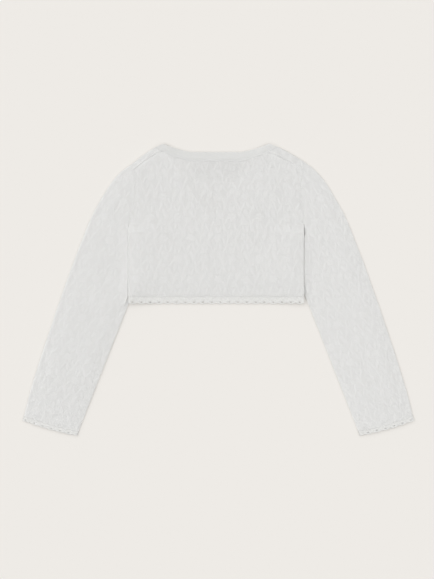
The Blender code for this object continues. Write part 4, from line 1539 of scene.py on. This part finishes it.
def makeLabel():
    columns, rows = labelLook["columns"], labelLook["rows"]
    wide, tall = labelLook["width"], labelLook["height"]
    x = np.linspace(-0.5, 0.5, columns + 1)[None, :] * wide + labelLook["middleX"]
    y = labelLook["topY"] - np.linspace(1.0, 0.0, rows + 1)[:, None] * tall
    x, y = x + 0.0 * y, y + 0.0 * x
    rimSink, rimOver = labelLook["rim"]
    hemRise, hemWidth, hemStep = labelLook["hem"]
    fade = gridFade(x.shape, rimOver, tall / rows, wide / columns)
    hem = ease((np.abs(x - labelLook["middleX"]) - wide / 2.0 + hemWidth) / hemStep)
    top = labelLook["wall"] - hemRise * (1.0 - hem) - rimSink * (1.0 - fade)
    inner = at(x, y, 0.0 * x)[::coarse, ::coarse]
    piece = shell("neckLabel", at(x, y, top), inner, at(x, y), evenValues(x.shape))
    dress(piece, "label", "neck_label")


makeLabel()
print("label done")


# Each sheet of cloth: the area it was cut to in square metres and what is sewn to it, gathered in a table
# that is not kept
def laySheet(name, sewn=()):
    held = {"area": cutArea[name]} if name in cutArea else {}
    if sewn:
        held["with_pieces"] = list(sewn)


def declareCloth():
    laySheet("laceBack", ["armholeSeamBackLeft", "armholeSeamBackRight"])
    laySheet("neckBinding", ["neckBindingStitches", "neckSeam"])
    laySheet("hemEdgingBack", ["hemEdgingBackCord", "hemSeamBack", "hemStitches"])
    laySheet("neckLabel")
    for hand in ("Left", "Right"):
        front, sleeve = "laceFront" + hand, "laceSleeve" + hand
        band, hem, cuff = "frontBand" + hand, "hemEdging" + hand, "cuffEdging" + hand
        laySheet(front,
                 ["armholeSeamFront" + hand, "sideSeam" + hand, "shoulderFold" + hand])
        underarm = ["underarmSeamRight"] if hand == "Right" else []
        laySheet(sleeve, [cuff, cuff + "Cord", "cuffSeam" + hand] + underarm)
        laySheet(band, [band + "Stitches", "bandSeam" + hand])
        laySheet(hem, [hem + "Cord", "hemSeam" + hand])


declareCloth()


# Surface, light and camera
studio = {
    "floorColor": (0.808, 0.787, 0.757, 1.0),
    "floorSize": 12.0,
    "floorRoughness": 0.95,
    "floorSpecular": 0.1,
    "floorUnder": 0.0002,   # the surface lies this far under the cloth, in metres
    "key": {"strength": 0.62, "spread": 44.0, "turn": 140.0, "height": 26.0},
    "fill": {"strength": 1.961, "spread": 140.0, "turn": 135.0, "height": 85.0},
    "worldColor": (1.0, 0.985, 0.96, 1.0),
    "world": 0.35,
    "pixel": 1.5,           # mm in the photograph's frame
    "lens": 100.0,
    "sensor": 36.0,
    "frameHeight": 579,
    "lookAt": (-2.1, 0.25),
    "clothTop": 0.004,      # the frame is measured at this height, in metres
}


def softSun(name):
    # A wide sun lights the surface evenly. turn is the side it comes from, in degrees from +X.
    look = studio[name]
    data = bpy.data.lights.new(name, "SUN")
    data.energy = look["strength"]
    data.angle = math.radians(look["spread"])
    light = bpy.data.objects.new(name, data)
    bpy.context.scene.collection.objects.link(light)
    light.rotation_euler = (math.radians(90.0 - look["height"]), 0.0, math.radians(look["turn"] + 90.0))
    light.location = (0.0, 0.0, 1.5)


def makeFloor():
    bpy.ops.object.select_all(action="DESELECT")
    bpy.ops.mesh.primitive_plane_add(size=studio["floorSize"], location=(0.0, 0.0, -studio["floorUnder"]))
    floor = bpy.context.active_object
    floor.name = "floor"
    paint = bpy.data.materials.new("paleSurface")
    paint.use_nodes = True
    shader = paint.node_tree.nodes["Principled BSDF"]
    shader.inputs["Base Color"].default_value = studio["floorColor"]
    shader.inputs["Roughness"].default_value = studio["floorRoughness"]
    shader.inputs["Specular IOR Level"].default_value = studio["floorSpecular"]
    floor.data.materials.append(paint)


def makeStudio():
    makeFloor()
    softSun("key")
    softSun("fill")
    scene = bpy.context.scene
    scene.world = bpy.data.worlds.new("softRoom")
    scene.world.use_nodes = True
    background = scene.world.node_tree.nodes["Background"]
    background.inputs["Color"].default_value = studio["worldColor"]
    background.inputs["Strength"].default_value = studio["world"]
    scene.view_settings.view_transform = "Standard"
    data = bpy.data.cameras.new("camera")
    data.lens = studio["lens"]
    data.sensor_width = studio["sensor"]
    camera = bpy.data.objects.new("camera", data)
    scene.collection.objects.link(camera)
    tall = studio["frameHeight"] * studio["pixel"] * mm
    x, y = studio["lookAt"]
    camera.location = (x * mm, y * mm, tall * data.lens / data.sensor_width + studio["clothTop"])
    scene.camera = camera


makeStudio()
print("studio done")
